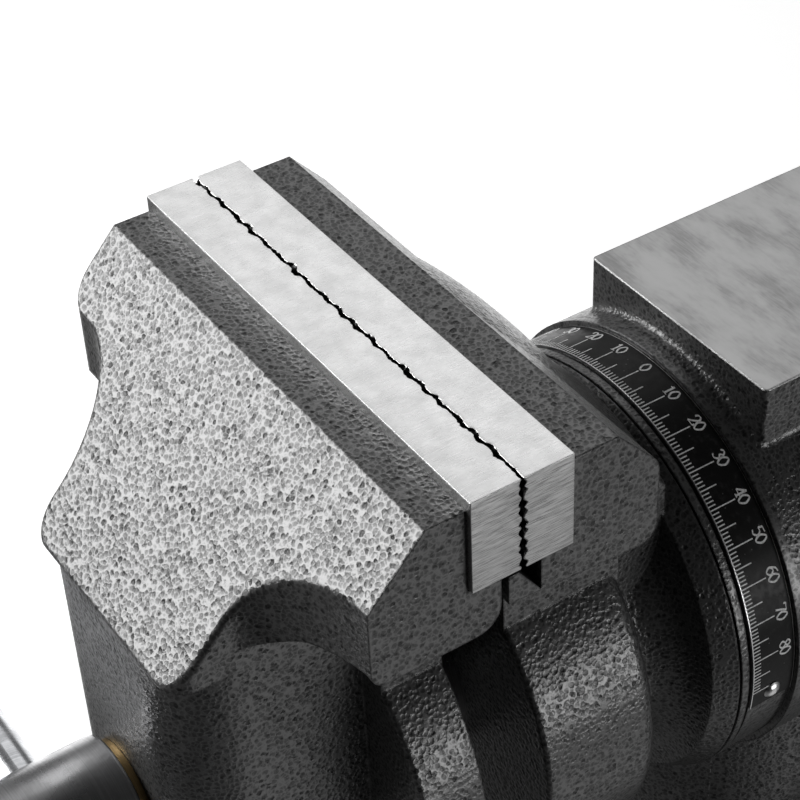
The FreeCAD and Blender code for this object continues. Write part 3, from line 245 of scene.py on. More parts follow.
def hammered_enamel(name, look, milled_above=None, smooth_band=None):
    """Grey enamel with dimples one cell apart and scattered dark pits; its colour is the enamel's own mottle, with
    painted highlight on the rims between the dimples and painted shade in their middles.

    Patches of it lie smoother. milled_above is a height over which the casting is bare milled
    iron, smooth_band a span of Y where the enamel lies smooth."""
    material, tree = new_material(name)
    point = object_point(tree)
    wander = node(tree, "TexNoise", None, {"Vector": point, "Scale": 0.8, "Detail": 1.0}).outputs["Color"]
    shift = {0: wander, 1: (0.9, 0.9, 0.9), 2: point}
    moved = node(tree, "VectorMath", {"operation": "MULTIPLY_ADD"}, shift).outputs[0]
    reach = cells(tree, moved, look.cell, "F1", 0.85)
    fine = noise(tree, moved, 0.5, 2.0, 0.6)
    patch = noise(tree, point, 7.0, 3.0, 0.6)
    rough_patch = ramp(tree, patch, 0.34, 0.54, look.smoothest, 1.0)
    walls = cells(tree, moved, look.cell, "DISTANCE_TO_EDGE", 0.85)
    web = ramp(tree, walls, 0.02, 0.16, 1.0, 0.0)
    bowl = math_node(tree, "MULTIPLY", math_node(tree, "MULTIPLY", reach, reach), 2.6, clamp=True)
    spots = node(tree, "TexVoronoi", {"feature": "F1"},
                 {"Vector": moved, "Scale": 1.0 / (1.35 * look.cell), "Randomness": 0.9})
    draw = node(tree, "SeparateColor", None, {0: spots.outputs["Color"]}).outputs[0]
    off = math_node(tree, "DIVIDE", spots.outputs["Distance"], ramp(tree, draw, 0.0, 1.0, 0.18, 0.52))
    pit = ramp(tree, off, 0.2, 1.0, 1.0, 0.0)
    height = math_node(tree, "MULTIPLY_ADD", fine, 0.07, math_node(tree, "MULTIPLY", bowl, 0.65))
    height = math_node(tree, "MULTIPLY_ADD", pit, -0.6, height)
    height = math_node(tree, "MULTIPLY", height, rough_patch)
    # colour: the enamel's own mottle, with painted highlight on the rims (web) and painted shade in the dimples'
    # middles (bowl)
    share = math_node(tree, "MULTIPLY_ADD", math_node(tree, "SUBTRACT", fine, 0.5), 0.60,
                      math_node(tree, "MULTIPLY_ADD", bowl, 0.30, math_node(tree, "MULTIPLY", web, 0.40)))
    share = math_node(tree, "MULTIPLY_ADD", pit, -0.75, math_node(tree, "ADD", share, 0.25))
    colour = blend_colour(tree, ramp(tree, share, -0.15, 0.95), grey(look.pit), grey(look.ridge))
    rough = ramp(tree, share, 0.0, 1.0, look.roughness + 0.06, look.roughness - 0.04)
    # painted shade: a near-black line in the joint round the front jaw insert
    colour = blend_colour(tree, joint_dirt(tree, point, fine), colour, grey(0.008))
    round_edge = soft_edges(tree, look.edge)
    flat = node(tree, "NewGeometry").outputs["Normal"]
    facing = node(tree, "VectorMath", {"operation": "DOT_PRODUCT"}, {0: round_edge, 1: flat}).outputs["Value"]
    height = math_node(tree, "MULTIPLY", height, ramp(tree, facing, 0.74, 0.96, 0.25, 1.0))
    # painted shade: a dark line along the rounded edges of the end faces
    colour = blend_colour(tree, end_edges(tree, facing, round_edge), colour, grey(0.01))
    metal = look.metallic
    if smooth_band is not None:
        y = node(tree, "SeparateXYZ", None, {0: point}).outputs["Y"]
        inside = math_node(tree, "MULTIPLY", ramp(tree, y, smooth_band[0] - 0.1, smooth_band[0] + 0.1),
                           ramp(tree, y, smooth_band[1] - 0.6, smooth_band[1] + 0.6, 1.0, 0.0))
        bump_share = math_node(tree, "SUBTRACT", 1.0, math_node(tree, "MULTIPLY", inside, 0.8))
        height = math_node(tree, "MULTIPLY", height, bump_share)
    if milled_above is not None:
        z = node(tree, "SeparateXYZ", None, {0: point}).outputs["Z"]
        bare = ramp(tree, z, milled_above - 0.45, milled_above - 0.30)
        lines = noise(tree, point, 0.7, 4.0, 0.62, (9.0, 1.0, 1.0))
        clouds = noise(tree, point, 13.0, 4.0, 0.62, (2.0, 1.0, 1.0))
        smudge = ramp(tree, clouds, 0.30, 0.80)
        tone = math_node(tree, "MULTIPLY_ADD", math_node(tree, "MULTIPLY", lines, smudge), -1.0,
                         math_node(tree, "MULTIPLY_ADD", clouds, -0.4, 1.15))
        iron = blend_colour(tree, ramp(tree, tone, 0.25, 1.05), grey(0.24), grey(0.42))
        colour = blend_colour(tree, bare, colour, iron)
        rough = math_node(tree, "ADD", math_node(tree, "MULTIPLY", bare, 0.34),
                          math_node(tree, "MULTIPLY", rough, math_node(tree, "SUBTRACT", 1.0, bare)))
        scratch = math_node(tree, "MULTIPLY", lines, 0.05)
        height = math_node(tree, "ADD", math_node(tree, "MULTIPLY", bare, scratch),
                           math_node(tree, "MULTIPLY", height, math_node(tree, "SUBTRACT", 1.0, bare)))
        metal = ramp(tree, bare, 0.0, 1.0, look.metallic, 1.0)
    normal = bumped(tree, height, look.dimple, round_edge)
    shader = node(tree, "BsdfPrincipled", None, {"Base Color": colour, "Roughness": rough, "Metallic": metal,
                                                 "Normal": normal})
    finish_material(tree, shader)
    return material


def ground_steel(name, tone, roughness):
    """Pale ground steel: faint clouds on top, grinding streaks along Y on the end faces.

    Painted shade darkens the teeth where the two jaws meet, and painted shade darkens the outer wall under the top
    edge."""
    material, tree = new_material(name)
    point = object_point(tree)
    streaks = noise(tree, point, 0.32, 4.0, 0.65, (1.0, 22.0, 1.0))
    clouds = noise(tree, point, 6.0, 3.0, 0.5)
    tone_map = math_node(tree, "MULTIPLY_ADD", streaks, 0.5, math_node(tree, "MULTIPLY", clouds, 0.5))
    colour = blend_colour(tree, ramp(tree, tone_map, 0.35, 0.65), grey(tone * 0.80), grey(tone))
    split = node(tree, "SeparateXYZ", None, {0: point})
    away = math_node(tree, "ABSOLUTE", math_node(tree, "SUBTRACT", split.outputs["Y"], CONTACT_Y))
    across = math_node(tree, "ABSOLUTE", split.outputs["X"])
    low, high = box_mm("front_jaw_insert")
    half, thick = high[0], CONTACT_Y - low[1]
    brushed = blend_colour(tree, ramp(tree, streaks, 0.34, 0.64), grey(tone * 0.30), grey(tone * 0.66))
    colour = blend_colour(tree, ramp(tree, across, half - 0.3, half - 0.1), colour, brushed)
    inner = math_node(tree, "MULTIPLY", ramp(tree, away, 1.4, 1.7, 1.0, 0.0),
                      ramp(tree, across, half - 0.5, half - 0.2, 1.0, 0.0))
    outer = ramp(tree, away, thick - 0.2, thick - 0.05)
    under_top = ramp(tree, split.outputs["Z"], TOP_Z - 0.4, TOP_Z - 0.12, 1.0, 0.0)
    # painted shade: the toothed faces where the two jaws meet go near black
    painted_seam_shade = math_node(tree, "MULTIPLY", inner, under_top)
    # painted shade: the outer wall under the top edge is drawn darker
    under_edge = ramp(tree, split.outputs["Z"], TOP_Z - 0.9, TOP_Z - 0.5, 1.0, 0.0)
    wall = math_node(tree, "MULTIPLY", outer, under_edge)
    colour = blend_colour(tree, wall, colour, grey(0.50))
    colour = blend_colour(tree, painted_seam_shade, colour, grey(0.05))
    rough = ramp(tree, streaks, 0.3, 0.7, roughness - 0.06, roughness + 0.10)
    height = math_node(tree, "MULTIPLY_ADD", streaks, 1.0, math_node(tree, "MULTIPLY", clouds, 0.4))
    normal = bumped(tree, height, 0.05, soft_edges(tree, 0.2))
    shader = node(tree, "BsdfPrincipled", None, {"Base Color": colour, "Roughness": rough, "Metallic": 1.0,
                                                 "Normal": normal})
    finish_material(tree, shader)
    return material


def turned_metal(name, colour, roughness, axis, groove_mm=0.35, edge_mm=0.3):
    """Lathe-turned metal: fine rings across the axis, with a few deeper marks."""
    material, tree = new_material(name)
    point = object_point(tree)
    spread = {"X": (1.0, 60.0, 60.0), "Y": (60.0, 1.0, 60.0), "Z": (60.0, 60.0, 1.0)}[axis]
    rings = noise(tree, point, groove_mm, 3.0, 0.6, spread)
    stain = noise(tree, point, 9.0, 3.0, 0.55)
    shade = math_node(tree, "MULTIPLY_ADD", rings, 0.5, math_node(tree, "MULTIPLY", stain, 0.5))
    dark = tuple(0.72 * part for part in colour[:3]) + (1.0,)
    tint = blend_colour(tree, ramp(tree, shade, 0.36, 0.62), dark, tuple(colour[:3]) + (1.0,))
    rough = ramp(tree, stain, 0.3, 0.7, roughness + 0.08, roughness - 0.05)
    normal = bumped(tree, rings, 0.012, soft_edges(tree, edge_mm))
    shader = node(tree, "BsdfPrincipled", None, {"Base Color": tint, "Roughness": rough, "Metallic": 1.0,
                                                 "Normal": normal})
    finish_material(tree, shader)
    return material


def moulded_plastic(name, tone):
    """Black moulded plastic with a faint flow pattern and fingerprints."""
    material, tree = new_material(name)
    point = object_point(tree)
    flow = noise(tree, point, 5.0, 3.0, 0.6)
    grain = noise(tree, point, 0.25, 2.0)
    colour = blend_colour(tree, ramp(tree, flow, 0.35, 0.7), grey(tone), grey(tone * 1.8))
    rough = ramp(tree, flow, 0.3, 0.7, 0.22, 0.38)
    shader = node(tree, "BsdfPrincipled", None, {"Base Color": colour, "Roughness": rough,
                                                 "Normal": bumped(tree, grain, 0.01)})
    finish_material(tree, shader)
    return material


def dial_finish(name, look):
    """Satin black face over aluminium, which shows at the strip's front and rear edges."""
    material, tree = new_material(name)
    point = object_point(tree)
    low, high = box_mm("dial_band")
    y = node(tree, "SeparateXYZ", None, {0: point}).outputs["Y"]
    front = ramp(tree, y, low[1] + 0.28, low[1] + 0.42, 1.0, 0.0)
    back = ramp(tree, y, high[1] - 0.30, high[1] - 0.16)
    bare = math_node(tree, "MAXIMUM", front, back)
    dust = noise(tree, point, 2.4, 4.0, 0.65)
    spots = ramp(tree, cells(tree, point, 3.1, "F1"), 0.05, 0.11, 1.0, 0.0)
    black = blend_colour(tree, math_node(tree, "MULTIPLY", spots, 0.25), grey(look.face), grey(0.30))
    black = blend_colour(tree, ramp(tree, dust, 0.50, 0.80, 0.0, 0.25), black, grey(0.09))
    colour = blend_colour(tree, bare, black, grey(0.72))
    rough = ramp(tree, dust, 0.35, 0.7, 0.30, 0.46)
    metal = ramp(tree, bare, 0.0, 1.0, 0.0, 1.0)
    shader = node(tree, "BsdfPrincipled", None, {"Base Color": colour, "Roughness": rough, "Metallic": metal,
                                                 "Specular IOR Level": 0.12,
                                                 "Normal": bumped(tree, dust, 0.01)})
    finish_material(tree, shader)
    return material


def white_paint(name):
    """Printed white, a little worn and uneven."""
    material, tree = new_material(name)
    point = object_point(tree)
    worn = noise(tree, point, 0.8, 3.0, 0.6)
    colour = blend_colour(tree, ramp(tree, worn, 0.30, 0.62), grey(0.62), grey(0.95))
    shader = node(tree, "BsdfPrincipled", None, {"Base Color": colour, "Roughness": 0.5})
    finish_material(tree, shader)
    return material


def studio_floor(name, tone):
    material, tree = new_material(name)
    point = object_point(tree)
    mottle = noise(tree, point, 90.0, 3.0)
    colour = blend_colour(tree, ramp(tree, mottle, 0.2, 0.8), grey(tone * 0.985), grey(tone))
    shader = node(tree, "BsdfPrincipled", None, {"Base Color": colour, "Roughness": 0.9,
                                                 "Emission Color": grey(1.0), "Emission Strength": 0.55})
    finish_material(tree, shader)
    return material


def dress(material, *nodes):
    """Gives CAD nodes a material in their own slots."""
    for name in nodes:
        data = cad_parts[name].data
        if len(data.materials) == 0:
            data.materials.append(material)
        for i in range(len(data.materials)):
            data.materials[i] = material


# Settings


class ViseEnamelSettings(bpy.types.PropertyGroup):
    pit: FloatProperty(name="Pit tone", description="Reflectance in the pits",
                       default=0.03, min=0.0, max=1.0)
    ridge: FloatProperty(name="Ridge tone", description="Reflectance on the web",
                         default=0.145, min=0.0, max=1.0)
    cell: FloatProperty(name="Cell", description="Width of one dimple in mm",
                        default=1.68, min=0.2, max=10.0)
    dimple: FloatProperty(name="Dimple", description="Depth of the dimples in mm",
                          default=0.20, min=0.0, max=2.0)
    smoothest: FloatProperty(name="Smoothest",
                             description="Share of the depth left in the smoothest patches",
                             default=0.60, min=0.0, max=1.0)
    roughness: FloatProperty(name="Roughness", description="Roughness", default=0.34, min=0.0, max=1.0,
                             subtype="FACTOR")
    metallic: FloatProperty(name="Flake", description="Share of metal flake",
                            default=0.60, min=0.0, max=1.0,
                            subtype="FACTOR")
    edge: FloatProperty(name="Edge", description="Softness of edges in mm", default=0.95, min=0.0, max=5.0)


class ViseInsertSettings(bpy.types.PropertyGroup):
    pitch_x: FloatProperty(name="Pitch along", description="Tooth pitch along the jaw in mm",
                           default=8.0, min=1.0)
    pitch_z: FloatProperty(name="Pitch up", description="Tooth pitch up the jaw in mm",
                           default=6.8, min=1.0)
    start: FloatProperty(name="Start", description="How far over the top edge the grooves cross in mm",
                         default=0.45)
    depth: FloatProperty(name="Depth", description="Depth of the grooves in mm",
                         default=0.85, min=0.0, max=3.0)
    half_width: FloatProperty(name="Groove", description="Half width of a groove along the jaw in mm",
                              default=2.0,
                              min=0.1, max=4.0)
    wear: FloatProperty(name="Wear", description="How far the teeth are worn back in mm",
                        default=0.10, min=0.0)
    edge: FloatProperty(name="Edge", description="Radius of the ground edges in mm",
                        default=0.2, min=0.05, max=2.0)
    chamfer: FloatProperty(name="Chamfer", description="Width of the outer top chamfer in mm",
                           default=1.2, min=0.1)
    drop: FloatProperty(name="Drop", description="Fall of the outer top chamfer in mm",
                        default=0.08, min=0.05)
    step: FloatProperty(name="Step", description="Grid step in mm", default=0.4, min=0.1, max=2.0)
    tone: FloatProperty(name="Tone", description="Reflectance of the steel", default=0.88, min=0.0, max=1.0)


class ViseScrewSettings(bpy.types.PropertyGroup):
    outer: FloatProperty(name="Radius", description="Outer radius of the thread in mm",
                         default=11.0, min=1.0)
    lead: FloatProperty(name="Lead", description="Travel per turn in mm", default=6.0, min=0.5)
    depth: FloatProperty(name="Depth", description="Depth of the thread in mm", default=2.4, min=0.1)
    head: FloatProperty(name="Head", description="Length of the head in mm", default=44.0, min=1.0)
    edge: FloatProperty(name="Edge", description="Radius of the head's front edge in mm",
                        default=3.0, min=0.1)
    tip: FloatProperty(name="Tip", description="Chamfer at the tip in mm", default=1.6, min=0.1)


class ViseDialSettings(bpy.types.PropertyGroup):
    face: FloatProperty(name="Face", description="Reflectance of the black face",
                        default=0.012, min=0.0, max=1.0)
    zero: FloatProperty(name="Zero", description="Angle of the zero mark in degrees", default=1.57)
    reach: IntProperty(name="Reach", description="Last degree mark on each side",
                       default=90, min=10, max=96)
    line: FloatProperty(name="Line", description="Width of a mark in mm", default=0.42, min=0.05, max=1.0)
    long_mark: FloatProperty(name="Ten", description="Length of the marks at tens in mm",
                             default=9.7, min=0.5)
    mid_mark: FloatProperty(name="Five", description="Length of the marks at fives in mm",
                            default=6.4, min=0.5)
    short_mark: FloatProperty(name="One", description="Length of the other marks in mm",
                              default=2.8, min=0.5)
    digit: FloatProperty(name="Digit", description="Height of a number in mm",
                         default=4.2, min=0.5, max=8.0)
    foot: FloatProperty(name="Foot", description="Foot of the numbers behind the dial's front edge in mm",
                        default=10.5, min=0.0)
    thin: FloatProperty(name="Thin", description="Width of the level strokes in mm", default=0.28, min=0.05)
    thick: FloatProperty(name="Thick", description="Width of the upright strokes in mm",
                         default=0.68, min=0.05)


class ViseStageSettings(bpy.types.PropertyGroup):
    floor: FloatProperty(name="Floor", description="Reflectance of the floor",
                         default=0.86, min=0.0, max=1.0)
    world: FloatProperty(name="Surround", description="Strength of the surrounding light",
                         default=0.15, min=0.0)
    dark_from: FloatProperty(name="Dark from", description="Cosine to the dark side where it starts",
                             default=0.0)
    dark_to: FloatProperty(name="Dark to", description="Cosine to the dark side where it is darkest",
                           default=0.7)
    dark_share: FloatProperty(name="Dark share", description="Light left on the dark side",
                              default=0.06, min=0.0)
    paper: FloatProperty(name="Paper", description="Strength of the white paper behind",
                         default=1.6, min=0.0)
    table: FloatProperty(name="Table", description="Strength of the pale table beside",
                         default=0.45, min=0.0)
    key: FloatProperty(name="Key", description="Power of the key light in watts", default=29.0, min=0.0)
    top: FloatProperty(name="Top", description="Power of the rear top light in watts", default=3.8, min=0.0)
    side: FloatProperty(name="Side", description="Power of the side fill in watts", default=7.0, min=0.0)


class ViseSettings(bpy.types.PropertyGroup):
    enamel: PointerProperty(type=ViseEnamelSettings)
    inserts: PointerProperty(type=ViseInsertSettings)
    screw: PointerProperty(type=ViseScrewSettings)
    dial: PointerProperty(type=ViseDialSettings)
    stage: PointerProperty(type=ViseStageSettings)


# Jaw inserts


def tooth_depth(x, down, look, lag):
    """Depth of the toothed face under its flat, in mm.

    Two families of straight V grooves cross: with d = down + start, x / pitch_x + d / pitch_z
    and x / pitch_x - d / pitch_z are whole numbers on their centre lines. The deeper of the two
    counts, and sums of sines make the grooves wander a little and chip their edges."""
    deepest = np.zeros_like(x)
    for sign in (1.0, -1.0):
        waves = ((37.0, 0.030, lag), (11.3, 0.022, 2.1 * sign), (3.1, 0.014, 0.7))
        wave = ripple(x + 3.0 * sign * down, waves)
        phase = x / look.pitch_x + sign * (down + look.start) / look.pitch_z + wave + lag
        off = np.abs(phase - np.round(phase)) * look.pitch_x / look.half_width
        deepest = np.maximum(deepest, look.depth * np.clip(1.0 - off, 0.0, 1.0))
    deepest *= 0.8 + 0.6 * ease(down / 3.0) + ripple(x, ((29.0, 0.30, 0.4 + lag), (13.7, 0.25, 2.2 * lag)))
    chip_waves = ((2.3, 0.06, 1.1), (1.45, 0.05, 0.3 + lag), (5.9, 0.14, 2.0 + 9 * lag), (19.0, 0.10, 9 * lag))
    chips = ripple(x, chip_waves)
    chips += ripple(down, ((2.9, 0.05, 0.4), (1.7, 0.04, lag)))
    return np.maximum(deepest + chips + look.wear, 0.0)


def insert_points(node_name, front, look):
    """Grid of points of a jaw insert: rows go along the jaw, columns round its cross-section.

    The section is a rectangle with rounded edges, and a chamfer on the front insert's outer top
    edge; its first columns climb the toothed face. A row near an end is drawn in by
    edge - sqrt(edge^2 - t^2), a quarter round, and the points of the toothed face are pushed
    back by tooth_depth."""
    low, high = box_mm(node_name)
    toward = 1.0 if front else -1.0
    face_y, back_y = (high[1], low[1]) if front else (low[1], high[1])
    thick, tall, r = abs(face_y - back_y), high[2] - low[2], look.edge
    teeth = int(round(tall / look.step))
    up = np.linspace(0.0, 1.0, teeth + 1)
    section = [np.stack([np.zeros(teeth + 1), r + up * (tall - 2 * r)], 1)]
    normals = [np.tile([-1.0, 0.0], (teeth + 1, 1))]
    corners = ((r, tall - r, 90.0), (thick - r, tall - r, 0.0), (thick - r, r, -90.0), (r, r, -180.0))
    for cv, cw, start in corners:
        turn = np.radians(start + np.linspace(90.0, 0.0, 5))[1 if start == 90.0 else 0:]
        turn = turn[:-1] if start == -180.0 else turn
        way = np.stack([np.cos(turn), np.sin(turn)], 1)
        arc = np.array([cv, cw]) + r * way
        if start == 0.0:
            run = look.chamfer if front else r
            top = np.linspace(1.8, thick - run, 8)[:, None] * [1.0, 0.0] + [0.0, tall]
            section.append(top)
            normals.append(np.tile([0.0, 1.0], (8, 1)))
            if front:
                arc[:, 0] = thick - run * (1 - np.linspace(0.2, 1.0, 5))
                arc[:, 1] = tall - look.drop * np.linspace(0.2, 1.0, 5)
        section.append(arc)
        normals.append(way)
    section, normals = np.vstack(section), np.vstack(normals)
    half = (high[0] - low[0]) / 2
    turn = np.linspace(0.0, math.pi / 2, 5)
    ends = half - r + r * np.sin(turn)
    inner = np.linspace(-half + r, half - r, int(round(2 * half / look.step)) + 1)
    x = np.concatenate([-ends[:0:-1], inner, ends[1:]])
    t = np.clip(np.abs(x) - (half - r), 0.0, r)
    inset = r - np.sqrt(np.maximum(r * r - t * t, 0.0))
    grid = section[None] - normals[None] * inset[:, None, None]
    v, w = grid[..., 0], grid[..., 1]
    across = np.broadcast_to(x[:, None], v.shape)
    bite = tooth_depth(across, tall - w, look, 0.0 if front else 0.4)
    v = v + bite * ease(1.0 - v / TEETH_REACH) * (v < TEETH_REACH)
    y = face_y - toward * v
    return np.stack([across, y, low[2] + w], -1)


def rod(name, axis, u, z, radius, start, end, sides=48):
    """Closed rod along X or Y: a circle of points round (u, z) carried from start to end."""
    turn = np.linspace(0.0, 2 * math.pi, sides, endpoint=False)
    across, up = u + radius * np.cos(turn), z + radius * np.sin(turn)
    rings = []
    for reach in (start, end):
        along = np.full(sides, float(reach))
        rings.append(np.stack([along, across, up] if axis == "X" else [across, along, up], 1))
    faces = grid_quads(2, sides, wrap_cols=True).tolist()
    faces += [list(range(sides)), list(range(2 * sides - 1, sides - 1, -1))]
    made = put_mesh(name, np.vstack(rings), faces)
    outward(made)
    return made


def build_insert(name, node_name, front, material):
    look = bpy.context.scene.vise.inserts
    points = insert_points(node_name, front, look)
    rows, cols = points.shape[:2]
    faces = grid_quads(rows, cols, wrap_cols=True).tolist()
    last = (rows - 1) * cols
    faces += [list(range(cols)), list(range(last + cols - 1, last - 1, -1))]
    obj = put_mesh(name, points.reshape(-1, 3), faces, 20.0)
    outward(obj)
    low, high = box_mm(node_name)
    face_y, way = (high[1], -1.0) if front else (low[1], 1.0)
    z = (low[2] + high[2]) / 2
    for x in (-INSERT_SCREW_X, INSERT_SCREW_X):
        ends = sorted((face_y - way * 2.0, face_y + way * 10.6))
        drill(obj, rod("cutter", "Y", x, z, SCREW_HEAD_HOLE_R, *ends))
        ends = sorted((face_y + way * 9.0, face_y + way * 18.0))
        drill(obj, rod("cutter", "Y", x, z, SCREW_SHANK_HOLE_R, *ends, sides=32))
    obj.data.set_sharp_from_angle(angle=math.radians(20.0))
    obj.data.materials.clear()
    obj.data.materials.append(material)
    return obj


def build_screw(name, material):
    """Lead screw with its turned head and a trapezoid thread.

    Along y the radius is the thread's outer radius less depth * clip(1.5 - 4 * |u - 0.5|, 0, 1),
    where u is the fraction of (y / lead - turn / 2 pi). The thread runs from the collar to the
    tip and fades over its first and last lead. The head's edges are rounded; the handle's hole
    is cut across it."""
    look = bpy.context.scene.vise.screw
    low, high = box_mm("lead_screw")
    bar_low, bar_high = box_mm("handle_bar")
    head_r, sides = (high[0] - low[0]) / 2, 64
    neck = low[1] + look.head
    turn = np.linspace(0.0, math.pi / 2, 5)
    sine, cosine, half = np.sin(turn), np.cos(turn), look.edge / 2
    head_y = np.concatenate([low[1] + look.edge * (1 - cosine), neck - half * (1 - sine)])
    head_out = np.concatenate([head_r - look.edge * (1 - sine), head_r - half * (1 - cosine)])
    steps = int(round((high[1] - look.tip - neck) / look.lead * 12))
    shank_y = np.linspace(neck + 0.02, high[1] - look.tip, steps)
    y = np.concatenate([[low[1]], head_y, shank_y, [high[1]]])
    shank_out = np.full(steps, look.outer)
    plain = np.concatenate([[head_r - look.edge], head_out, shank_out, [look.outer - look.tip]])
    angle = np.linspace(0.0, 2 * math.pi, sides, endpoint=False)
    start = box_mm("retaining_collar")[1][1] + look.lead
    u = np.mod(y[:, None] / look.lead - angle[None] / (2 * math.pi), 1.0)
    groove = np.clip(1.5 - 4 * np.abs(u - 0.5), 0.0, 1.0)
    fade = ease((y - start) / look.lead) * ease((high[1] - look.tip - y) / look.lead)
    radius = plain[:, None] - look.depth * groove * fade[:, None]
    points = np.stack([radius * np.cos(angle), np.broadcast_to(y[:, None], radius.shape),
                       AXIS_Z + radius * np.sin(angle)], -1)
    faces = grid_quads(len(y), sides, wrap_cols=True).tolist()
    last = (len(y) - 1) * sides
    faces += [list(range(sides)), list(range(last + sides - 1, last - 1, -1))]
    obj = put_mesh(name, points.reshape(-1, 3), faces, 40.0)
    outward(obj)
    bar_y, bar_r = (bar_low[1] + bar_high[1]) / 2, (bar_high[2] - bar_low[2]) / 2
    drill(obj, rod("cutter", "X", bar_y, AXIS_Z, bar_r + 0.3, -(head_r + 5), head_r + 5))
    obj.data.materials.clear()
    obj.data.materials.append(material)
    return obj


class VISE_OT_lead_screw(bpy.types.Operator):
    """The lead screw with a real thread, cut across for the handle"""

    bl_idname = "vise.lead_screw"
    bl_label = "Lead Screw"

    def execute(self, context):
        steel = turned_metal("turned_screw", (0.50, 0.50, 0.51), 0.30, "Y")
        screw = build_screw("lead_screw_threaded", steel)
        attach(screw, "screw")
        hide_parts("lead_screw")
        return {"FINISHED"}


class VISE_OT_jaw_inserts(bpy.types.Operator):
    """Two ground steel inserts whose facing sides are cut with crossed grooves"""

    bl_idname = "vise.jaw_inserts"
    bl_label = "Jaw Inserts"

    def execute(self, context):
        steel = ground_steel("ground_steel", context.scene.vise.inserts.tone, 0.30)
        for name, node_name, front, body in (
            ("front_insert_toothed", "front_jaw_insert", True, "slide"),
            ("rear_insert_toothed", "rear_jaw_insert", False, "head"),
        ):
            obj = build_insert(name, node_name, front, steel)
            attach(obj, body)
            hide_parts(node_name)
        return {"FINISHED"}


# Dial


def on_dial(along_mm, y_mm, lift_mm, radius):
    """Points of the dial's surface from the arc length off the top, Y and height over the face."""
    angle = np.asarray(along_mm) / radius
    out = radius + np.asarray(lift_mm)
    y = np.broadcast_to(y_mm, angle.shape)
    return np.stack([out * np.sin(angle), y, AXIS_Z + out * np.cos(angle)], -1)


def dial_marks(name, low, high, look, material):
    """All degree marks as one mesh: a thin curved bar each, long at tens and medium at fives."""
    radius = high[2] - AXIS_Z
    degrees = np.arange(-look.reach, look.reach + 1)
    fives = np.where(degrees % 5 == 0, look.mid_mark, look.short_mark)
    length = np.where(degrees % 10 == 0, look.long_mark, fives)
    centre = np.radians(degrees + look.zero) * radius
    corners = [[-1, 0], [1, 0], [1, 1], [-1, 1]]
    unit = np.array([corner + [layer] for layer in (0, 1) for corner in corners], float)
    along = centre[:, None] + unit[None, :, 0] * look.line / 2
    y = low[1] + 0.1 + unit[None, :, 1] * length[:, None]
    lift = -PRINT + 2 * PRINT * np.broadcast_to(unit[None, :, 2], along.shape)
    points = on_dial(along, y, lift, radius).reshape(-1, 3)
    quads = [[0, 3, 2, 1], [4, 5, 6, 7], [0, 1, 5, 4], [1, 2, 6, 5], [2, 3, 7, 6], [3, 0, 4, 7]]
    faces = (np.array(quads)[None] + 8 * np.arange(len(degrees))[:, None, None]).reshape(-1, 4)
    obj = put_mesh(name, points, faces.tolist(), 30.0)
    outward(obj)
    obj.data.materials.append(material)
    return obj


# Pen strokes of the numerals, one unit high: points across and up; True closes a stroke.
NUMERALS = {
    "0": [(True, ((0.0, 1.0), (0.29, 0.5), (0.0, 0.0), (-0.29, 0.5)))],
    "1": [(False, ((0.03, 1.0), (0.03, 0.5), (0.03, 0.0))), (False, ((-0.17, 0.01), (0.03, 0.01), (0.23, 0.01))),
          (False, ((-0.18, 0.82), (-0.06, 0.87), (0.03, 0.98)))],
    "2": [(False, ((-0.25, 0.72), (-0.16, 0.94), (0.06, 0.99), (0.23, 0.75), (0.02, 0.38), (-0.27, 0.03))),
          (False, ((-0.27, 0.03), (0.0, 0.03), (0.27, 0.05), (0.31, 0.22)))],
    "3": [(False, ((-0.24, 0.82), (-0.04, 1.0), (0.20, 0.80), (0.02, 0.55))),
          (False, ((0.02, 0.55), (0.26, 0.30), (0.03, 0.0), (-0.27, 0.10)))],
    "4": [(False, ((0.12, 1.0), (-0.10, 0.62), (-0.31, 0.28))), (False, ((-0.31, 0.28), (0.0, 0.28), (0.31, 0.28))),
          (False, ((0.12, 1.0), (0.12, 0.5), (0.12, 0.0))), (False, ((-0.05, 0.01), (0.12, 0.01), (0.28, 0.01)))],
    "5": [(False, ((-0.16, 0.96), (0.05, 0.96), (0.27, 1.0))), (False, ((-0.16, 0.96), (-0.19, 0.78), (-0.23, 0.60))),
          (False, ((-0.23, 0.60), (0.08, 0.60), (0.26, 0.32), (0.03, 0.01), (-0.27, 0.08)))],
    "6": [(False, ((0.25, 0.98), (-0.08, 0.82), (-0.28, 0.36))),
          (True, ((0.0, 0.60), (0.28, 0.30), (0.0, 0.0), (-0.28, 0.30)))],
    "7": [(False, ((-0.29, 0.80), (-0.24, 0.97), (0.0, 0.97), (0.29, 0.97))),
          (False, ((0.29, 0.97), (0.10, 0.50), (-0.06, 0.0)))],
    "8": [(True, ((0.0, 1.0), (0.22, 0.77), (0.0, 0.54), (-0.22, 0.77))),
          (True, ((0.0, 0.54), (0.28, 0.27), (0.0, 0.0), (-0.28, 0.27)))],
}


def smooth_line(points, closed, per_span=7):
    """Catmull-Rom curve through the points, and its direction at each sample."""
    p = np.asarray(points, float)
    if closed:
        p = np.vstack([p[-1:], p, p[:2]])
    else:
        p = np.vstack([2 * p[0] - p[1], p, 2 * p[-1] - p[-2]])
    t = np.linspace(0.0, 1.0, per_span, endpoint=False)[:, None]
    spans, ways = [], []
    for a, b, c, d in zip(p[:-3], p[1:-2], p[2:-1], p[3:]):
        k1, k2, k3 = (c - a) / 2, a - 2.5 * b + 2 * c - d / 2, (d - a) / 2 + 1.5 * (b - c)
        spans.append(b + t * (k1 + t * (k2 + t * k3)))
        ways.append(k1 + t * (2 * k2 + 3 * t * k3))
    if not closed:
        spans.append(p[-2:-1])
        ways.append((p[-1:] - p[-3:-2]) / 2)
    way = np.vstack(ways)
    return np.vstack(spans), way / np.linalg.norm(way, axis=1)[:, None]


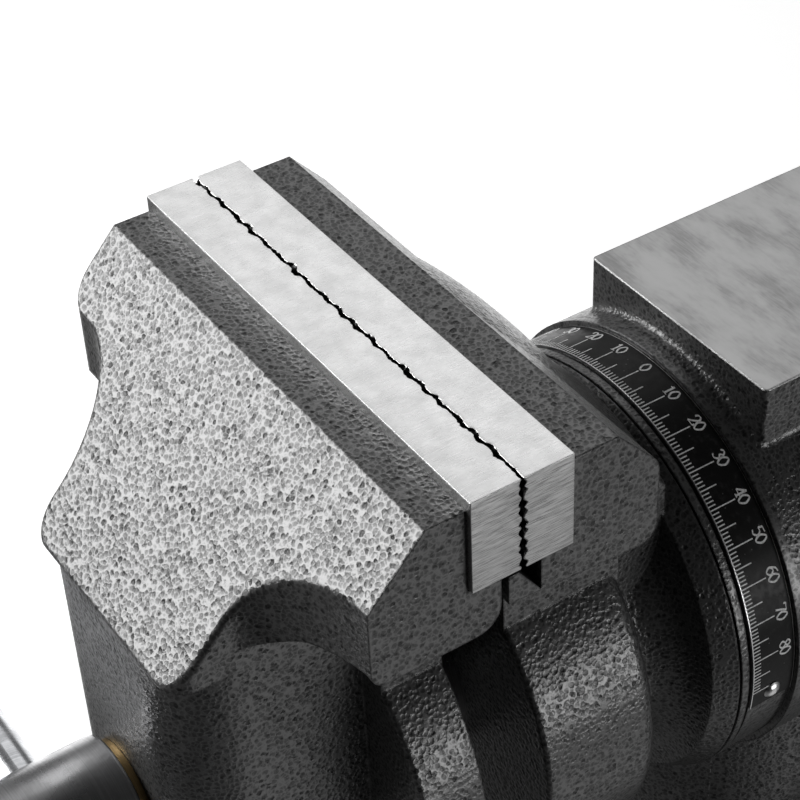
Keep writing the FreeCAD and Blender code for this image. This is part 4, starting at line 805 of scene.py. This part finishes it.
def pen_stroke(points, closed, height, thin, thick):
    """Closed ribbon of a broad pen: upright parts are thick and level parts thin.

    Its points are (across, up, 0 or 1 for the layer); the last share of the width comes
    from the upright part of the direction."""
    line, way = smooth_line(points, closed)
    half = (thin + (thick - thin) * np.abs(way[:, 1]))[:, None] / 2
    side = np.stack([-way[:, 1], way[:, 0]], 1) * half
    left, right = height * line + side, height * line - side
    count = len(line)
    low, top = np.zeros((count, 1)), np.ones((count, 1))
    rows = (np.hstack([left, low]), np.hstack([right, low]), np.hstack([right, top]), np.hstack([left, top]))
    faces = grid_quads(count, 4, wrap_rows=closed, wrap_cols=True).tolist()
    if not closed:
        last = 4 * (count - 1)
        faces += [[0, 1, 2, 3], [last + 3, last + 2, last + 1, last]]
    return np.stack(rows, 1).reshape(-1, 3), faces


def dial_number(text, angle_deg, low, high, look):
    """Points and faces of one number, its foot towards the front edge of the dial."""
    radius = high[2] - AXIS_Z
    pitch = 0.60 * look.digit
    points, faces = [], []
    for place, digit in enumerate(text):
        shift = (place - (len(text) - 1) / 2) * pitch
        for closed, stroke in NUMERALS[digit]:
            some, quads = pen_stroke(stroke, closed, look.digit, look.thin, look.thick)
            start = sum(len(p) for p in points)
            faces += [[i + start for i in quad] for quad in quads]
            points.append(some + (shift, 0.0, 0.0))
    flat = np.vstack(points)
    along = math.radians(angle_deg + look.zero) * radius + flat[:, 0]
    y = low[1] + look.foot + flat[:, 1]
    return on_dial(along, y, PRINT * (2 * flat[:, 2] - 1), radius), faces


class VISE_OT_dial(bpy.types.Operator):
    """The degree dial: satin black strip, white marks at each degree and numbers at the tens"""

    bl_idname = "vise.dial"
    bl_label = "Degree Dial"

    def execute(self, context):
        look = context.scene.vise.dial
        low, high = box_mm("dial_band")
        dress(dial_finish("dial_black", look), "dial_band")
        white = white_paint("dial_white")
        marks = dial_marks("dial_marks", low, high, look, white)
        points, faces = [], []
        for degrees in range(-80, 81, 10):
            some, polygons = dial_number(str(abs(degrees)), degrees, low, high, look)
            shift = sum(len(p) for p in points)
            faces += [[i + shift for i in polygon] for polygon in polygons]
            points.append(some)
        numbers = put_mesh("dial_numbers", np.vstack(points), faces, 30.0)
        outward(numbers)
        numbers.data.materials.append(white)
        for obj in (marks, numbers):
            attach(obj, "body")
        return {"FINISHED"}


# Castings and metal parts


class VISE_OT_castings(bpy.types.Operator):
    """Hammered grey enamel on the castings, with the anvil's face left milled"""

    bl_idname = "vise.castings"
    bl_label = "Castings"

    def execute(self, context):
        look = context.scene.vise.enamel
        dress(hammered_enamel("jaw_enamel", look), "front_jaw_casting", "head_casting")
        band = (box_mm("dial_band")[1][1], box_mm("dial_band")[1][1] + 3.2)
        dress(hammered_enamel("body_enamel", look, ANVIL_TOP_Z, band), "body_casting")
        dress(hammered_enamel("base_enamel", look), "base", "rear_cap")
        return {"FINISHED"}


class VISE_OT_metal_parts(bpy.types.Operator):
    """Turned, plated and blackened finishes on the screw, handle, locks, rings and fasteners"""

    bl_idname = "vise.metal_parts"
    bl_label = "Metal Parts"

    def execute(self, context):
        dress(turned_metal("turned_y", (0.50, 0.50, 0.51), 0.30, "Y"), "slide_tube", "retaining_ring",
              "retaining_collar")
        dress(turned_metal("turned_z", (0.45, 0.45, 0.46), 0.32, "Z"), "swivel_lock_nut_left",
              "swivel_lock_nut_right", "swivel_lock_washers", "swivel_t_bolts")
        dress(turned_metal("turned_x", (0.45, 0.45, 0.46), 0.32, "X"), "head_lock_screw", "slide_tube_pins",
              "retaining_collar_pin")
        dress(turned_metal("bright_plating", (0.62, 0.63, 0.65), 0.22, "X", 0.6), "handle_bar", "handle_knob_left",
              "handle_knob_right", "swivel_lock_bar_left", "swivel_lock_bar_right", "head_lock_bar")
        dress(turned_metal("blackened_steel", (0.10, 0.10, 0.105), 0.38, "Y", 0.5), "front_insert_screws",
              "rear_insert_screws", "front_pipe_jaw_screws", "rear_pipe_jaw_screws", "retaining_ring_bolts",
              "screw_nut_bolts", "rear_cap_screws")
        dress(turned_metal("turned_bronze", (0.60, 0.42, 0.20), 0.34, "Y"), "screw_nut", "thrust_washer",
              "head_lock_shoe")
        dress(turned_metal("bright_rivet", (0.80, 0.80, 0.80), 0.22, "X", 0.8), "dial_rivets")
        dress(ground_steel("hard_steel", 0.36, 0.36), "front_pipe_jaw", "rear_pipe_jaw")
        dress(moulded_plastic("knob_plastic", 0.018), "swivel_lock_knob_left", "swivel_lock_knob_right",
              "head_lock_knob")
        return {"FINISHED"}


# Studio


def area_light(name, watts, size, place, aim):
    light = bpy.data.lights.new(name, "AREA")
    light.energy = watts
    light.shape = "RECTANGLE"
    light.size, light.size_y = size
    obj = bpy.data.objects.new(name, light)
    bpy.context.scene.collection.objects.link(obj)
    place, aim = np.array(place), np.array(aim)
    back = (place - aim) / np.linalg.norm(place - aim)
    side = np.cross((0.0, 0.0, 1.0), back)
    side /= np.linalg.norm(side)
    up = np.cross(back, side)
    turn = np.eye(4)
    turn[:3, 0], turn[:3, 1], turn[:3, 2], turn[:3, 3] = side, up, back, place
    obj.matrix_world = Matrix(turn.tolist())
    obj.visible_camera = False
    return obj


def photo_camera():
    """Camera at the photograph's angle: azimuth, elevation and roll in degrees, place in metres.

    It was fitted to points picked on the photograph, most of which it meets within 1 to 2 px."""
    azimuth, elevation, roll = (math.radians(a) for a in (58.256, 39.582, -2.896))
    look = np.array([-math.sin(azimuth) * math.cos(elevation), math.cos(azimuth) * math.cos(elevation),
                     -math.sin(elevation)])
    right = np.array([math.cos(azimuth), math.sin(azimuth), 0.0])
    up = np.cross(right, look)
    turned_right = right * math.cos(roll) + up * math.sin(roll)
    turned_up = -right * math.sin(roll) + up * math.cos(roll)
    camera = bpy.data.cameras.new("photo_camera")
    camera.sensor_width = 36.0
    camera.lens = 98.3
    camera.clip_start, camera.clip_end = 0.02, 50.0
    obj = bpy.data.objects.new("photo_camera", camera)
    bpy.context.scene.collection.objects.link(obj)
    place = np.eye(4)
    place[:3, 0], place[:3, 1], place[:3, 2] = turned_right, turned_up, -look
    place[:3, 3] = (0.407637, -0.385628, 0.689515)
    obj.matrix_world = Matrix(place.tolist())
    bpy.context.scene.camera = obj


def surround_light(tree, look):
    """Grey surround: dark on the photographer's side, white paper behind, a pale table beside."""
    toward = node(tree, "TexCoord").outputs["Generated"]
    dark_way = (0.655, -0.405, 0.637)
    paper_way = (-0.72, 0.50, -0.48)
    table_way = (0.62, 0.33, -0.71)

    def cosine_to(way):
        return node(tree, "VectorMath", {"operation": "DOT_PRODUCT"}, {0: toward, 1: way}).outputs["Value"]

    facing = cosine_to(dark_way)
    strength = ramp(tree, facing, look.dark_from, look.dark_to, look.world, look.world * look.dark_share)
    for way, start, full, light in ((paper_way, 0.80, 0.94, look.paper), (table_way, 0.86, 0.99, look.table)):
        strength = math_node(tree, "ADD", strength, ramp(tree, cosine_to(way), start, full, 0.0, light))
    tree.nodes["Background"].inputs["Color"].default_value = (1.0, 1.0, 1.0, 1.0)
    tree.links.new(strength, tree.nodes["Background"].inputs["Strength"])


class VISE_OT_stage(bpy.types.Operator):
    """Pale floor, soft lights and the camera"""

    bl_idname = "vise.stage"
    bl_label = "Stage"

    def execute(self, context):
        look = context.scene.vise.stage
        turn = np.linspace(0.0, 2 * math.pi, 64, endpoint=False)
        rings = np.array([300.0, 1500.0, 6000.0, 18000.0, 45000.0])
        points = np.stack([rings[:, None] * np.cos(turn), rings[:, None] * np.sin(turn),
                           np.full((len(rings), 64), -0.05)], -1).reshape(-1, 3)
        faces = grid_quads(len(rings), 64, wrap_cols=True).tolist() + [list(range(64))]
        floor = put_mesh("floor", points, faces)
        floor.data.materials.append(studio_floor("floor_paper", look.floor))
        floor.visible_diffuse = False
        floor.visible_glossy = False
        world = bpy.data.worlds.new("surround")
        world.use_nodes = True
        surround_light(world.node_tree, look)
        context.scene.world = world
        aim = (0.0, -0.12, 0.28)
        area_light("key_light", look.key, (1.2, 1.0), (-1.05, -1.18, 0.86), aim)
        area_light("top_light", look.top, (1.3, 1.0), (-1.0, 0.55, 1.25), aim)
        area_light("side_light", look.side, (1.0, 0.5), (1.45, 0.55, 0.17), aim)
        photo_camera()
        context.scene.view_settings.view_transform = "Standard"
        context.scene.view_settings.look = "None"
        return {"FINISHED"}


class VISE_PT_panel(bpy.types.Panel):
    """Lists the vise's pieces and their settings"""

    bl_idname = "VISE_PT_panel"
    bl_label = "Bench Vise"
    bl_space_type = "VIEW_3D"
    bl_region_type = "UI"
    bl_category = "Vise"

    def draw(self, context):
        settings = context.scene.vise
        for group in (settings.enamel, settings.inserts, settings.screw, settings.dial, settings.stage):
            box = self.layout.box()
            for key in group.__annotations__:
                box.prop(group, key)
        for operator in OPERATORS:
            self.layout.operator(operator.bl_idname)


OPERATORS = (VISE_OT_castings, VISE_OT_jaw_inserts, VISE_OT_lead_screw, VISE_OT_dial, VISE_OT_metal_parts,
             VISE_OT_stage)
GROUPS = (ViseEnamelSettings, ViseInsertSettings, ViseScrewSettings, ViseDialSettings, ViseStageSettings,
          ViseSettings)


def register():
    for group in GROUPS + OPERATORS + (VISE_PT_panel,):
        bpy.utils.register_class(group)
    bpy.types.Scene.vise = PointerProperty(type=ViseSettings)


def unregister():
    del bpy.types.Scene.vise
    for group in reversed(GROUPS + OPERATORS + (VISE_PT_panel,)):
        bpy.utils.unregister_class(group)


def main():
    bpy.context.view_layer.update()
    register()
    bpy.ops.vise.castings()
    bpy.ops.vise.jaw_inserts()
    bpy.ops.vise.lead_screw()
    bpy.ops.vise.dial()
    bpy.ops.vise.metal_parts()
    bpy.ops.vise.stage()


if __name__ == "__main__":
    main()
